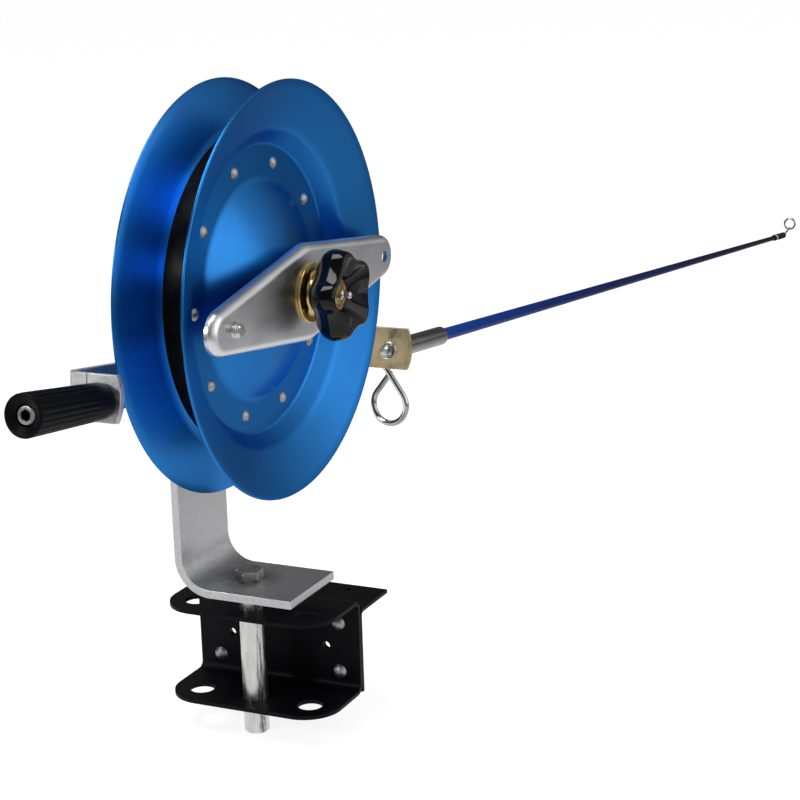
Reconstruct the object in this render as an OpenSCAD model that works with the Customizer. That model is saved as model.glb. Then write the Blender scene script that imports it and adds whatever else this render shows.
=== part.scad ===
// Sea fishing reel on a swivelling stand, with a clamp bracket, a lever grip and a short rod.
// Millimetres. +X runs along the spool axle to the drag knob, +Y outboard along the rod, +Z up.
// The origin lies midway between the two gunwale bolt holes, on the rear face of the bracket.

/* [Bracket] */
// Length of the folded channel along the gunwale
bracket_len = 139; // [130:1:180]
// Depth of the channel plates from front edge to back
bracket_depth = 66; // [62:1:90]
// Height of the channel over both plates
bracket_h = 75; // [66:1:110]
// Plate thickness of the channel
bracket_t = 3; // [2:0.5:4]
// Outer radius of the channel's folds
bracket_fold_r = 8; // [5:0.5:10]
// Radius of the channel's front corners
bracket_corner_r = 28; // [10:1:32]
// Spacing of the post sockets along the channel
socket_pitch = 46.5; // [40:0.5:50]
// Height of the gunwale bolt holes above the channel's underside
mount_h = 35; // [32:1:40]
// Spacing of the gunwale bolt holes
mount_pitch = 82; // [70:1:88]
// Diameter of the gunwale bolt holes
mount_d = 6.5; // [5:0.5:9]
// Spacing of the bracket rivets along the channel
bracket_rivet_pitch = 104; // [100:1:110]
// Spacing of the bracket rivets in height
bracket_rivet_rise = 39; // [34:1:42]
// Head diameter of the bracket rivets
bracket_rivet_head_d = 11; // [8:0.5:13]
// Head height of the bracket rivets
bracket_rivet_head_h = 3.2; // [2:0.2:4]
// Shank diameter of the bracket rivets
bracket_rivet_d = 5; // [3:0.5:6]

/* [Gunwale angle] */
// Plate thickness of the angle
angle_t = 3; // [2:0.5:5]
// Reach of the lip over the gunwale
lip_reach = 45.5; // [38:0.5:70]
// Distance of the lip below the channel's top
lip_drop = 8.5; // [4:0.5:12]
// Distance of the lip screw holes from the mounting face
lip_hole_reach = 34.5; // [15:0.5:35]
// Diameter of the lip screw holes
lip_hole_d = 5.5; // [4:0.5:8]

/* [Stand] */
// Diameter of the swivel post
post_d = 19; // [16:0.5:22]
// Distance of the post axis from the mounting face
post_reach = 46; // [40:1:50]
// Length of post below the channel
post_tail = 24; // [10:1:60]
// Running clearance of the post in its sockets, on the radius
post_clear = 0.05; // [0.02:0.01:0.1]
// Gap between the channel and the foot
foot_gap = 17; // [5:1:40]
// Width of the flat bar
bar_w = 70; // [60:1:80]
// Thickness of the flat bar
bar_t = 6; // [5:0.5:8]
// Outer radius of the bar's bend
bar_bend_r = 28; // [15:1:35]
// Distance of the foot's free end from the post axis
foot_toe = 52.5; // [35:0.5:80]
// Gap between the foot and the spool's rim
spool_gap = 71.5; // [30:0.5:140]
// Distance of the spool's middle plane from the post axis
spool_x = 17.5; // [5:0.5:20]
// Distance of the spool's middle plane from the upright's inner face
spool_offset = 54.5; // [52:0.5:70]
// Thread diameter of the foot bolt
foot_bolt_d = 12; // [8:1:14]
// Hexagon size of the foot bolt
foot_bolt_af = 19; // [17:1:24]
// Head height of the foot bolt
foot_bolt_head = 7.5; // [5:0.5:10]
// Length of thread of the foot bolt in the post
foot_bolt_grip = 25; // [15:1:40]

/* [Axle] */
// Diameter of the axle's journal
axle_d = 20; // [18:0.5:22]
// Thread diameter at both ends of the axle
axle_thread_d = 16; // [12:1:17]
// Running clearance on the axle, on the radius
axle_clear = 0.05; // [0.02:0.01:0.1]
// End play between turning pieces on the axle
end_play = 0.1; // [0.05:0.05:0.3]
// Hexagon size of the axle nut
axle_nut_af = 24; // [22:1:30]
// Height of the axle nut
axle_nut_h = 13; // [8:1:16]
// Diameter of the axle washer
axle_washer_d = 30; // [26:1:40]
// Thickness of the axle washer
axle_washer_t = 3; // [2:0.5:4]
// Diameter of the spacer between upright and spool
spacer_d = 30; // [27:1:36]
// Thickness of the thrust washer
thrust_t = 2; // [1:0.5:3]
// Diameter of the grease gallery along the axle
grease_d = 2.5; // [1.5:0.5:3]
// Thread diameter of the grease nipple
nipple_d = 6; // [5:1:8]
// Thread length of the grease nipple
nipple_thread = 6; // [4:1:8]

/* [Spool] */
// Diameter of the spool flanges
flange_d = 300; // [290:1:320]
// Width of the spool over both rims
flange_w = 56.3; // [50:0.1:62]
// Sheet thickness of the flanges
sheet_t = 2; // [1.5:0.1:2.5]
// Radius where the flat rivet ring meets the centre dome
dome_r = 79; // [74:0.5:82]
// Height of the centre dome above the rivet ring
dome_h = 23; // [18:0.5:25]
// Radius of the flat seat at the middle of the dome
dome_seat_r = 26; // [25:0.5:30]
// Width of the flat rivet ring between the dome and the groove wall
ring_w = 25; // [22:0.5:30]
// Run of the groove wall from the rivet ring outward
wall_run = 10.5; // [9:0.5:13]
// Rise of the groove wall above the rivet ring
wall_rise = 12; // [10:0.5:13]
// Number of spool rivets
rivet_count = 10; // [6:1:16]
// Turn of the first rivet from straight up
rivet_turn = -18.3; // [-36:0.1:36]
// Head diameter of the spool rivets
rivet_head_d = 9; // [6:0.5:10]
// Head height of the spool rivets
rivet_head_h = 2.4; // [1.5:0.1:3]
// Shank diameter of the spool rivets
rivet_d = 4; // [3:0.5:5]
// Distance of the drum ring's outer face inside the end of the groove wall
drum_step = 1.1; // [0.5:0.1:2]
// Thickness of the drum ring on the radius
drum_t = 6.4; // [4:0.2:7]
// Clearance between drum ring and flanges
drum_clear = 0.1; // [0.05:0.05:0.3]
// Radius of the hub between the flanges
hub_r = 22; // [20.5:0.5:24]
// Radius of the hub's ends, which pass through the flanges
hub_end_r = 19; // [17.5:0.5:20]
// Distance that the hub's ends stand proud of the flanges
hub_proud = 2; // [1:0.5:3]
// Outer radius of the bushes
bush_r = 14; // [12.5:0.5:16]
// Length of each bush
bush_len = 20; // [10:1:22]

/* [Crank and drag] */
// Half length of the crank plate
crank_half = 138.5; // [132:0.5:150]
// Half width of the crank plate at the middle
crank_mid_r = 35; // [31:0.5:40]
// Radius of the crank plate's ends
crank_end_r = 16; // [14:0.5:20]
// Distance of the crank plate's face from the spool's middle plane
crank_face = 44; // [42:0.5:48]
// Sheet thickness of the crank plate
crank_t = 2.5; // [2:0.1:3]
// Depth of the crank plate's rolled edge
crank_skirt = 8; // [6.5:0.5:9]
// Radius of the crank plate's rolled edge
crank_roll_r = 6; // [4:0.5:6]
// Turn of the crank plate from level
crank_angle = 1.6; // [-5:0.1:5]
// Distance of the crank stud from the axle
crank_stud_reach = 112; // [95:1:120]
// Thread diameter of the crank stud
crank_stud_d = 10; // [8:1:12]
// Distance that the crank stud stands proud of the plate
crank_stud_proud = 6; // [4:0.5:12]
// Distance of the crank hole from the axle
crank_hole_reach = 122; // [95:1:125]
// Diameter of the crank hole
crank_hole_d = 8.5; // [6:0.5:10]
// Radius of the hub's collar in the crank plate
crank_collar_r = 15; // [13:0.5:17]
// Thickness of the friction disc
friction_t = 4; // [3:0.5:5]
// Radius of the drag cup's flange
cup_r = 21.5; // [20:0.5:24]
// Height of the drag cup's flange
cup_flange = 2; // [1.5:0.5:4]
// Radius of the drag cup's neck
cup_neck_r = 12.5; // [12:0.5:16]
// Length of the drag cup
cup_len = 9; // [8:0.5:14]
// Radius of the star knob over its lobes
knob_r = 33.5; // [30:0.5:36]
// Radius of the star knob in its valleys
knob_valley_r = 27; // [25.5:0.1:28]
// Radius of each lobe
knob_lobe_r = 11; // [10:0.5:12]
// Number of lobes
knob_lobes = 5; // [5:1:6]
// Turn of the knob, its first lobe from upright
knob_angle = 11; // [-36:1:36]
// Length of the star knob along the axle
knob_len = 24; // [20:0.5:30]
// Depth of the hollow in the knob's face
knob_hollow = 10.5; // [6:0.5:12]
// Radius of the knob's metal insert
insert_r = 11.7; // [10.5:0.1:14]

/* [Lever] */
// Distance of the lever's pivot below the axle
pivot_drop = 64.4; // [60:0.2:80]
// Tilt of the lever, rod end down
lever_tilt = 8; // [0:0.5:8]
// Height of the lever bar
lever_h = 32; // [28:1:40]
// Thickness of the lever bar
lever_t = 5; // [4:0.5:6]
// Outer radius of the lever bar's bend
lever_bend_r = 12; // [6:0.5:14]
// Reach of the grip leg's outer face past the spool's rim
lever_gap = 24; // [14:0.5:40]
// Length of the grip leg over the bend
lever_leg = 44.5; // [34:0.5:50]
// Distance of the lever bar's far end from the rod bracket's face
lever_short = 13.5; // [8:0.5:20]
// Diameter of the pivot bolt
pivot_d = 10; // [8:1:12]
// Running clearance of the lever on its pivot, on the radius
pivot_clear = 0.05; // [0.02:0.01:0.1]
// Hexagon size of the pivot bolt and nut
pivot_af = 17; // [15:1:19]
// Height of the pivot bolt's head
pivot_head = 6.4; // [5:0.2:8]
// Height of the pivot nut
pivot_nut_h = 10; // [6:1:12]
// Diameter of the pivot's friction washers
pivot_washer_d = 30; // [22:1:32]
// Thickness of the pivot's friction washers
pivot_washer_t = 1; // [0.8:0.1:2]

/* [Grip] */
// Distance of the grip's axis from the end of its leg
grip_inset = 14; // [9:0.5:16]
// Distance of the grip's axis below the lever bar's middle
grip_drop = 1.2; // [0:0.1:3]
// Length of the grip
grip_len = 89; // [80:1:120]
// Diameter of the grip at its outer end
grip_outer_d = 29; // [26:0.5:32]
// Diameter of the grip at its inner end
grip_inner_d = 25.5; // [22:0.5:26]
// Diameter of the grip bolt
grip_bolt_d = 8; // [6:1:10]
// Running clearance of the grip on its bolt, on the radius
grip_clear = 0.05; // [0.02:0.01:0.1]
// Head diameter of the grip bolt
grip_head_d = 13; // [12:0.5:16]
// Head height of the grip bolt
grip_head_h = 8; // [6:0.5:10]
// Depth of the hollow that holds the bolt's head
grip_hollow = 11; // [11:0.5:16]
// Hexagon size of the grip nut
grip_nut_af = 13; // [13:1:17]
// Height of the grip nut
grip_nut_h = 6; // [4:0.5:7]

/* [Rod] */
// Reach of the rod bracket's face past the spool's rim
rod_gap = 68.5; // [60:0.5:90]
// Distance of the bracket's bolts from its face
rod_bolt_back = 36; // [34:1:40]
// Turn of the rod bracket on the lever bar, rod end up
rod_cock = 2.3; // [0:0.1:5]
// Height of the rod bracket's strip
strip_h = 34; // [30:1:40]
// Distance of the strip's middle above the rod's axis
strip_rise = 2; // [0:0.5:4]
// Thickness of the rod bracket's strip
strip_t = 3; // [2:0.5:4]
// Length of the strip's leg along the lever bar
strip_leg = 56; // [52:1:56]
// Reach of the strip's free end past the rod's axis
strip_reach = 20; // [14:0.5:30]
// Radius of the strip's rounded free end
strip_end_r = 42; // [36:1:80]
// Outer radius of the strip's bend
strip_bend_r = 6; // [4:0.5:8]
// Thread diameter of the rod bracket's bolts
strip_bolt_d = 6; // [5:1:8]
// Spacing of the rod bracket's bolts
strip_bolt_pitch = 20; // [16:1:22]
// Thread diameter of the rod bolt
rod_bolt_d = 6; // [5:1:8]
// Hexagon size of the rod bolt
rod_bolt_af = 10; // [9:1:13]
// Height of the rod bolt's head
rod_bolt_head = 4; // [3.5:0.5:6]
// Diameter of the rod washer
rod_washer_d = 15; // [14.5:0.5:20]
// Thickness of the rod washer
rod_washer_t = 1.5; // [1:0.1:2]
// Diameter of the rod sleeve
sleeve_d = 16; // [13:0.5:18]
// Length of the rod sleeve
sleeve_len = 102; // [80:1:140]
// Depth of the rod in its sleeve
rod_seat = 74; // [50:1:90]
// Diameter of the rod at the sleeve
rod_base_d = 10.8; // [8:0.1:12]
// Diameter of the rod at the tip
rod_tip_d = 6; // [4:0.1:7]
// Length of the rod beyond the bracket
rod_len = 1285; // [900:5:1600]
// Length of the whipping at the tip
wrap_len = 52; // [30:1:80]
// Thickness of the whipping
wrap_t = 1.1; // [0.4:0.1:1.4]
// Inner diameter of the tip eye
eye_in_d = 12; // [9:0.5:20]
// Wire diameter of the tip eye
eye_wire_d = 2.5; // [2:0.1:3]
// Distance of the tip eye beyond the rod's end
eye_reach = 33; // [12:0.5:40]
// Height of the tip eye's lowest point above the rod's axis
eye_lift = 7.5; // [3:0.5:10]

/* [Line guide] */
// Wire diameter of the line guide
guide_wire_d = 5; // [3:0.2:5.4]
// Radius of the line guide's loop
guide_loop_r = 16; // [12:0.5:22]
// Slope of the line guide's two strands from upright
guide_slope = 36; // [30:0.5:45]
// Distance of the loop's middle below the rod's axis
guide_drop = 46; // [42:0.5:60]
// Distance of the loop's middle from the rod's axis, to the upright's side
guide_shift = 2.3; // [-4:0.1:6]
// Gap between the two strands where they cross
guide_gap = 1.2; // [0.8:0.1:3]

/* [Hidden] */
$fn = 96;

// Bolts pass through plain holes with this clearance on the radius.
hole_clear = 0.1;
// Corner break of turned ends.
chamfer = 1;
// Overshoot of cutting tools past a face.
over = 1;
// Length of thread that shows past a nut.
thread_proud = 3;
// Steps of an arc in a profile.
arc_steps = 5;

// Heights of the bracket, foot and axle
channel_low = -mount_h;
channel_top = channel_low + bracket_h;
foot_low = channel_top + foot_gap;
foot_top = foot_low + bar_t;
axle_z = foot_top + spool_gap + flange_d / 2;
post_low = channel_low - post_tail;
lip_top = channel_top - lip_drop;

// Faces of the bracket along Y
channel_back = -angle_t;
channel_front = channel_back - bracket_depth;
channel_web = channel_back - bracket_t;

// Radii of running and plain fits
post_r = post_d / 2;
socket_r = post_r + post_clear;
foot_bolt_r = foot_bolt_d / 2;
journal_r = axle_d / 2;
journal_bore_r = journal_r + axle_clear;
thread_r = axle_thread_d / 2;
thread_bore_r = thread_r + axle_clear;
pivot_r = pivot_d / 2;
grip_bolt_r = grip_bolt_d / 2;
grip_key_af = 0.75 * grip_bolt_d;
stud_neck_r = crank_stud_d / 2 + 1;
rod_bolt_r = rod_bolt_d / 2;
strip_bolt_r = strip_bolt_d / 2;

// Head and nut of the rod bracket's bolts, in the usual ratio to the thread
strip_bolt_af = 1.65 * strip_bolt_d;
strip_head_h = 0.65 * strip_bolt_d;
strip_nut_h = 0.8 * strip_bolt_d;

nipple_r = nipple_d / 2;
bush_seat_r = bush_r + hole_clear;

// Stations along the axle, from the spool's middle plane
upright_in = -spool_offset;
upright_out = upright_in - bar_t;
axle_rear = upright_out - axle_washer_t - axle_nut_h - thread_proud;
dome_curve_r = (dome_r * dome_r + dome_h * dome_h) / (2 * dome_h);
seat_x = dome_x(dome_seat_r);
hub_shoulder = seat_x - sheet_t;
hub_end = seat_x + hub_proud;
friction_end = seat_x + friction_t;
crank_back = friction_end + end_play;
crank_inner = crank_face - crank_t;
cup_back = crank_face + end_play;
cup_end = cup_back + cup_len;
knob_back = cup_end + end_play;
knob_front = knob_back + knob_len;
insert_front = knob_front - knob_hollow;
axle_front = insert_front;
thrust_front = -hub_end - end_play;
thrust_back = thrust_front - thrust_t;

// Radii of the spool's profile
ring_r = dome_r + ring_w;
wall_r = ring_r + wall_run;
wall_x = sheet_t + wall_rise;
rivet_circle_r = dome_r + ring_w / 2;
drum_r = wall_r - drum_step;
drum_in_r = drum_r - drum_t;

// Stations of the lever bar along its length, from the pivot
lever_back = flange_d / 2 + lever_gap;
rod_face = flange_d / 2 + rod_gap;
lever_front = rod_face - lever_short;

// Stations of the lever bar along X, from the spool's middle plane
lever_out = upright_in + pivot_washer_t + end_play;
lever_in = lever_out + lever_t;
lever_end = lever_out + lever_leg;
grip_x = lever_end - grip_inset;
pivot_z = axle_z - pivot_drop;

// Stations of the rod along its own axis, from the bracket's near face
sleeve_start = strip_t;
sleeve_end = sleeve_start + sleeve_len;
rod_start = sleeve_end - rod_seat;
wrap_start = rod_len - wrap_len;
wrap_end = rod_len + 2;
eye_y = rod_len + eye_reach;

// Height of the dome's outer face above the joint plane at a radius
function dome_x(r) = sheet_t + dome_h - dome_curve_r + sqrt(dome_curve_r * dome_curve_r - r * r);

function unit(v) = v / norm(v);
function turn_of(v) = atan2(v[1], v[0]);
function reversed(list) = [for (i = [len(list) - 1 : -1 : 0]) list[i]];

// Arc of radius r that rounds the corner b between a and c
function rounded(a, b, c, r) =
  let (
    u = unit(a - b),
    v = unit(c - b),
    half = acos(u * v) / 2,
    middle = b + unit(u + v) * r / sin(half),
    first = turn_of(b + u * r / tan(half) - middle),
    last = turn_of(b + v * r / tan(half) - middle),
    sweep = (last - first + 540) % 360 - 180
  )
  [for (i = [0 : arc_steps]) middle + r * [cos(first + sweep * i / arc_steps), sin(first + sweep * i / arc_steps)]];

// The path moved sideways by t, to its left for positive t
function shifted(path, t) =
  [for (i = [0 : len(path) - 1])
    let (along = unit(path[min(i + 1, len(path) - 1)] - path[max(i - 1, 0)]))
    path[i] + t * [-along[1], along[0]]];

// Solid of revolution about X, from points of radius and station
module turned(points) {
  rotate([0, 90, 0]) rotate_extrude() polygon(points);
}

// Round bar along X between two stations
module bar_x(r, from, to) {
  translate([from, 0, 0]) rotate([0, 90, 0]) cylinder(r = r, h = to - from);
}

// Round bar along Y between two stations
module bar_y(r, from, to) {
  translate([0, to, 0]) rotate([90, 0, 0]) cylinder(r = r, h = to - from);
}

// Hexagon bar along Z from z = 0, with its corners turned off at both ends
module hex_bar(af, h) {
  corner_r = af / sqrt(3);
  turned_off = corner_r - af / 2;
  drop = turned_off / 2;
  intersection() {
    cylinder(r = corner_r, h = h, $fn = 6);
    rotate_extrude()
      polygon([
        [0, 0], [corner_r - turned_off, 0], [corner_r + over, drop + drop * over / turned_off],
        [corner_r + over, h - drop - drop * over / turned_off], [corner_r - turned_off, h], [0, h]
      ]);
  }
}

// Hexagon bar along X between two stations
module hex_x(af, from, to) {
  translate([from, 0, 0]) rotate([0, 90, 0]) hex_bar(af, to - from);
}

// Hexagon bar along Y between two stations
module hex_y(af, from, to) {
  translate([0, to, 0]) rotate([90, 0, 0]) hex_bar(af, to - from);
}

// Ring along X between two stations
module ring_x(r_in, r_out, from, to) {
  turned([[r_in, from], [r_out, from], [r_out, to], [r_in, to]]);
}

// Domed rivet head that stands on z = 0
module rivet_head(d, h) {
  ball_r = (d * d / 4 + h * h) / (2 * h);
  intersection() {
    translate([0, 0, h - ball_r]) sphere(r = ball_r);
    cylinder(d = d, h = h);
  }
}

// Frame of the spool axle: x = 0 is the spool's middle plane
module at_axle() {
  translate([spool_x, -post_reach, axle_z]) children();
}

// Frame of the lever: y runs along its bar, z across it
module at_pivot() {
  translate([spool_x, -post_reach, pivot_z]) rotate([-lever_tilt, 0, 0]) children();
}

// Frame of the rod: y = 0 is the bracket's near face, the rod lies on the y axis
module at_rod() {
  at_pivot()
    translate([0, rod_face - rod_bolt_back, 0])
      rotate([rod_cock, 0, 0])
        translate([0, rod_bolt_back, -rod_bolt_back * sin(rod_cock)])
          children();
}

// Frame of the grip: y = 0 is the leg's outer face, the grip lies along -y
module at_grip() {
  at_pivot() translate([grip_x, -lever_back, -grip_drop]) children();
}

// Places of the bracket's rivets on its back plate
module bracket_rivet_places() {
  for (x = [-1, 1] * bracket_rivet_pitch / 2)
    for (z = [-1, 1] * bracket_rivet_rise / 2)
      translate([x, 0, z]) children();
}

// Places of the gunwale bolts
module mount_places() {
  for (x = [-1, 1] * mount_pitch / 2)
    translate([x, 0, 0]) children();
}

// Section of the channel in Y and Z, drawn in by inset on the three closed sides
module channel_section(inset) {
  r = bracket_fold_r - inset;
  back = channel_back - inset;
  low = channel_low + inset;
  top = channel_top - inset;
  front = channel_front - (inset > 0 ? over : 0);
  translate([front, low]) square([back - r - front, top - low]);
  translate([front, low + r]) square([back - front, top - low - 2 * r]);
  for (z = [low + r, top - r])
    translate([back - r, z]) circle(r = r);
}

// Plan of the channel with its round front corners
module channel_plan() {
  r = bracket_corner_r;
  translate([-bracket_len / 2, channel_front + r]) square([bracket_len, bracket_depth]);
  translate([-bracket_len / 2 + r, channel_front]) square([bracket_len - 2 * r, bracket_depth]);
  for (side = [-1, 1])
    translate([side * (bracket_len / 2 - r), channel_front + r]) circle(r = r);
}

// Extrusion along X of a section drawn in Y and Z, centred on x = 0
module along_x(length) {
  translate([-length / 2, 0, 0])
    rotate([90, 0, 90])
      linear_extrude(length) children();
}

module clamp_bracket() {
  color("#1c1c22")
    difference() {
      intersection() {
        along_x(bracket_len)
          difference() {
            channel_section(0);
            channel_section(bracket_t);
          }
        translate([0, 0, channel_low - over])
          linear_extrude(bracket_h + 2 * over) channel_plan();
      }
      for (x = [-1, 0, 1] * socket_pitch)
        translate([x, -post_reach, channel_low - over])
          cylinder(r = socket_r, h = bracket_h + 2 * over);
      bracket_rivet_places() bar_y(bracket_rivet_d / 2 + hole_clear, channel_web - over, channel_back + over);
      mount_places() bar_y(mount_d / 2, channel_web - over, channel_back + over);
    }
}

// Section of the angle in Y and Z: the leg is in front, the lip runs outboard
module angle_section() {
  fold_r = 2 * angle_t;
  translate([-angle_t, channel_low]) square([angle_t, lip_top - fold_r - channel_low]);
  translate([fold_r - angle_t, lip_top - angle_t]) square([lip_reach - fold_r + angle_t, angle_t]);
  translate([fold_r - angle_t, lip_top - fold_r])
    intersection() {
      difference() {
        circle(r = fold_r);
        circle(r = fold_r - angle_t);
      }
      translate([-fold_r, 0]) square(fold_r);
    }
}

module gunwale_angle() {
  color("#1c1c22")
    difference() {
      along_x(bracket_len) angle_section();
      bracket_rivet_places() bar_y(bracket_rivet_d / 2 + hole_clear, -angle_t - over, over);
      mount_places() bar_y(mount_d / 2, -angle_t - over, over);
      mount_places()
        translate([0, lip_hole_reach, lip_top - angle_t - over])
          cylinder(d = lip_hole_d, h = angle_t + 2 * over);
    }
}

module bracket_rivets() {
  color("#c9cace")
    bracket_rivet_places() {
      bar_y(bracket_rivet_d / 2, channel_web, 0);
      translate([0, channel_web, 0]) rotate([90, 0, 0])
        rivet_head(bracket_rivet_head_d, bracket_rivet_head_h);
    }
}

module post() {
  color("#b9bcbe")
    translate([0, -post_reach, 0])
      difference() {
        rotate_extrude()
          polygon([
            [0, post_low], [post_r - chamfer, post_low], [post_r, post_low + chamfer],
            [post_r, foot_low], [0, foot_low]
          ]);
        translate([0, 0, foot_low - foot_bolt_grip])
          cylinder(r = foot_bolt_r + hole_clear, h = foot_bolt_grip + over);
      }
}

// Section of the upright in X and Z, measured from the spool's middle plane
module upright_section() {
  bend_x = upright_out + bar_bend_r;
  bend_z = foot_low + bar_bend_r;
  translate([upright_out, bend_z]) square([bar_t, axle_z + bar_w / 2 - bend_z]);
  translate([bend_x, foot_low]) square([foot_toe - spool_x - bend_x, bar_t]);
  translate([bend_x, bend_z])
    intersection() {
      difference() {
        circle(r = bar_bend_r);
        circle(r = bar_bend_r - bar_t);
      }
      translate([-bar_bend_r, -bar_bend_r]) square(bar_bend_r);
    }
}

// Front view of the bar in Y and Z, with its round top
module upright_outline() {
  translate([-bar_w / 2, foot_low - over]) square([bar_w, axle_z - foot_low + over]);
  translate([0, axle_z]) circle(d = bar_w);
}

module upright() {
  color("#d4d6d9")
    translate([spool_x, -post_reach, 0])
      difference() {
        intersection() {
          translate([0, bar_w / 2, 0])
            rotate([90, 0, 0]) linear_extrude(bar_w) upright_section();
          translate([upright_out - over, 0, 0])
            rotate([90, 0, 90])
              linear_extrude(foot_toe - spool_x - upright_out + 2 * over) upright_outline();
        }
        translate([-spool_x, 0, foot_low - over])
          cylinder(r = foot_bolt_r + hole_clear, h = bar_t + 2 * over);
        translate([0, 0, axle_z])
          bar_x(thread_r + hole_clear, upright_out - over, upright_in + over);
        translate([0, 0, pivot_z])
          bar_x(pivot_r + hole_clear, upright_out - over, upright_in + over);
      }
}

module foot_bolt() {
  color("#a9aba8")
    translate([0, -post_reach, 0]) {
      translate([0, 0, foot_low - foot_bolt_grip])
        cylinder(r = foot_bolt_r, h = foot_bolt_grip + bar_t);
      translate([0, 0, foot_top]) rotate(30) hex_bar(foot_bolt_af, foot_bolt_head);
    }
}

module axle() {
  color("#c2b26a")
    at_axle()
      difference() {
        turned([
          [0, axle_rear], [thread_r - chamfer, axle_rear], [thread_r, axle_rear + chamfer],
          [thread_r, upright_in], [journal_r, upright_in], [journal_r, cup_end],
          [thread_r, cup_end], [thread_r, axle_front - chamfer], [thread_r - chamfer, axle_front],
          [0, axle_front]
        ]);
        bar_x(nipple_r, axle_front - nipple_thread, axle_front + over);
        bar_x(grease_d / 2, 0, axle_front);
        cylinder(d = grease_d, h = journal_r + over);
      }
}

module axle_washer() {
  color("#b9bcbe")
    at_axle() ring_x(thread_bore_r, axle_washer_d / 2, upright_out - axle_washer_t, upright_out);
}

module axle_nut() {
  nut_front = upright_out - axle_washer_t;
  color("#b9bcbe")
    at_axle()
      difference() {
        hex_x(axle_nut_af, nut_front - axle_nut_h, nut_front);
        bar_x(thread_bore_r, nut_front - axle_nut_h - over, nut_front + over);
      }
}

module rear_spacer() {
  color("#b9bcbe")
    at_axle() ring_x(journal_bore_r, spacer_d / 2, upright_in, thrust_back);
}

module thrust_washer() {
  color("#b08d57")
    at_axle() ring_x(journal_bore_r, hub_end_r - chamfer, thrust_back, thrust_front);
}

module pivot_bolt() {
  head_x = lever_in + end_play + pivot_washer_t;
  color("#b9bcbe")
    at_pivot() {
      bar_x(pivot_r, upright_out - pivot_nut_h - chamfer, head_x);
      hex_x(pivot_af, head_x, head_x + pivot_head);
    }
}

module pivot_washers() {
  color("#2b2b2b")
    at_pivot()
      for (x = [upright_in, lever_in + end_play])
        ring_x(pivot_r + hole_clear, pivot_washer_d / 2, x, x + pivot_washer_t);
}

module pivot_nut() {
  color("#b9bcbe")
    at_pivot()
      difference() {
        hex_x(pivot_af, upright_out - pivot_nut_h, upright_out);
        bar_x(pivot_r + hole_clear, upright_out - pivot_nut_h - over, upright_out + over);
      }
}

module grease_nipple() {
  hex_front = axle_front + 2.5;
  waist = hex_front + 2;
  ball = waist + 2.5;
  tip = ball + 2;
  ball_r = 3;
  waist_r = 1.6;
  color("#d8dadb")
    at_axle() {
      bar_x(nipple_r - hole_clear, axle_front - nipple_thread + chamfer, axle_front);
      hex_x(nipple_d + chamfer, axle_front, hex_front);
      turned([
        [0, hex_front], [ball_r, hex_front], [waist_r, waist], [ball_r, ball],
        [ball_r, ball + chamfer], [ball_r - chamfer, tip], [0, tip]
      ]);
    }
}

// Flat strip bent once, seen along its width: one leg along y, the other along x
// The outer corner lies at the origin, the legs run to -y and +x for toward = -1
module bent_strip(thick, bend_r, leg_y, leg_x, toward) {
  mirror([0, toward > 0 ? 1 : 0]) {
    translate([0, -leg_y]) square([thick, leg_y - bend_r]);
    translate([bend_r, -thick]) square([leg_x - bend_r, thick]);
    translate([bend_r, -bend_r])
      intersection() {
        difference() {
          circle(r = bend_r);
          circle(r = bend_r - thick);
        }
        translate([-bend_r, 0]) square(bend_r);
      }
  }
}

// Places of the two bolts that hold the rod bracket
module strip_bolt_places() {
  for (y = [-1, 1] * strip_bolt_pitch / 2)
    translate([0, y - rod_bolt_back, 0]) children();
}

module lever_bar() {
  color("#d4d6d9")
    difference() {
      at_pivot()
        translate([lever_out, -lever_back, -lever_h / 2])
          linear_extrude(lever_h)
            bent_strip(lever_t, lever_bend_r, lever_back + lever_front, lever_leg, 1);
      at_pivot() bar_x(pivot_r + pivot_clear, lever_out - over, lever_in + over);
      at_grip() bar_y(grip_bolt_r + hole_clear, -over, lever_t + over);
      at_rod() strip_bolt_places() bar_x(strip_bolt_r + hole_clear, lever_out - over, lever_in + over);
    }
}

module rod_bracket() {
  color("#b9a268")
    at_rod()
      difference() {
        intersection() {
          translate([lever_in, strip_t, strip_rise - strip_h / 2])
            linear_extrude(strip_h)
              bent_strip(strip_t, strip_bend_r, strip_leg, strip_reach - lever_in, -1);
          translate([strip_reach - strip_end_r, 0, strip_rise]) {
            bar_y(strip_end_r, -strip_leg - over, strip_t + over);
            translate([-2 * strip_end_r, -strip_leg - over, -strip_h])
              cube([2 * strip_end_r, strip_leg + strip_t + 2 * over, 2 * strip_h]);
          }
        }
        bar_y(rod_bolt_r + hole_clear, -over, strip_t + over);
        strip_bolt_places() bar_x(strip_bolt_r + hole_clear, lever_in - over, lever_in + strip_t + over);
      }
}

module rod_bracket_bolts() {
  head_x = lever_in + strip_t;
  color("#b9bcbe")
    at_rod()
      strip_bolt_places() {
        bar_x(strip_bolt_r, lever_out - strip_nut_h - chamfer, head_x);
        hex_x(strip_bolt_af, head_x, head_x + strip_head_h);
      }
}

module rod_bracket_nuts() {
  color("#b9bcbe")
    at_rod()
      strip_bolt_places()
        difference() {
          hex_x(strip_bolt_af, lever_out - strip_nut_h, lever_out);
          bar_x(strip_bolt_r + hole_clear, lever_out - strip_nut_h - over, lever_out + over);
        }
}

module rod_bolt() {
  color("#d8dadb")
    at_rod() {
      bar_y(rod_bolt_r, -rod_washer_t, rod_start - chamfer);
      hex_y(rod_bolt_af, -rod_washer_t - rod_bolt_head, -rod_washer_t);
    }
}

module rod_washer() {
  color("#d8dadb")
    at_rod()
      difference() {
        bar_y(rod_washer_d / 2, -rod_washer_t, 0);
        bar_y(rod_bolt_r + hole_clear, -rod_washer_t - over, over);
      }
}

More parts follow.
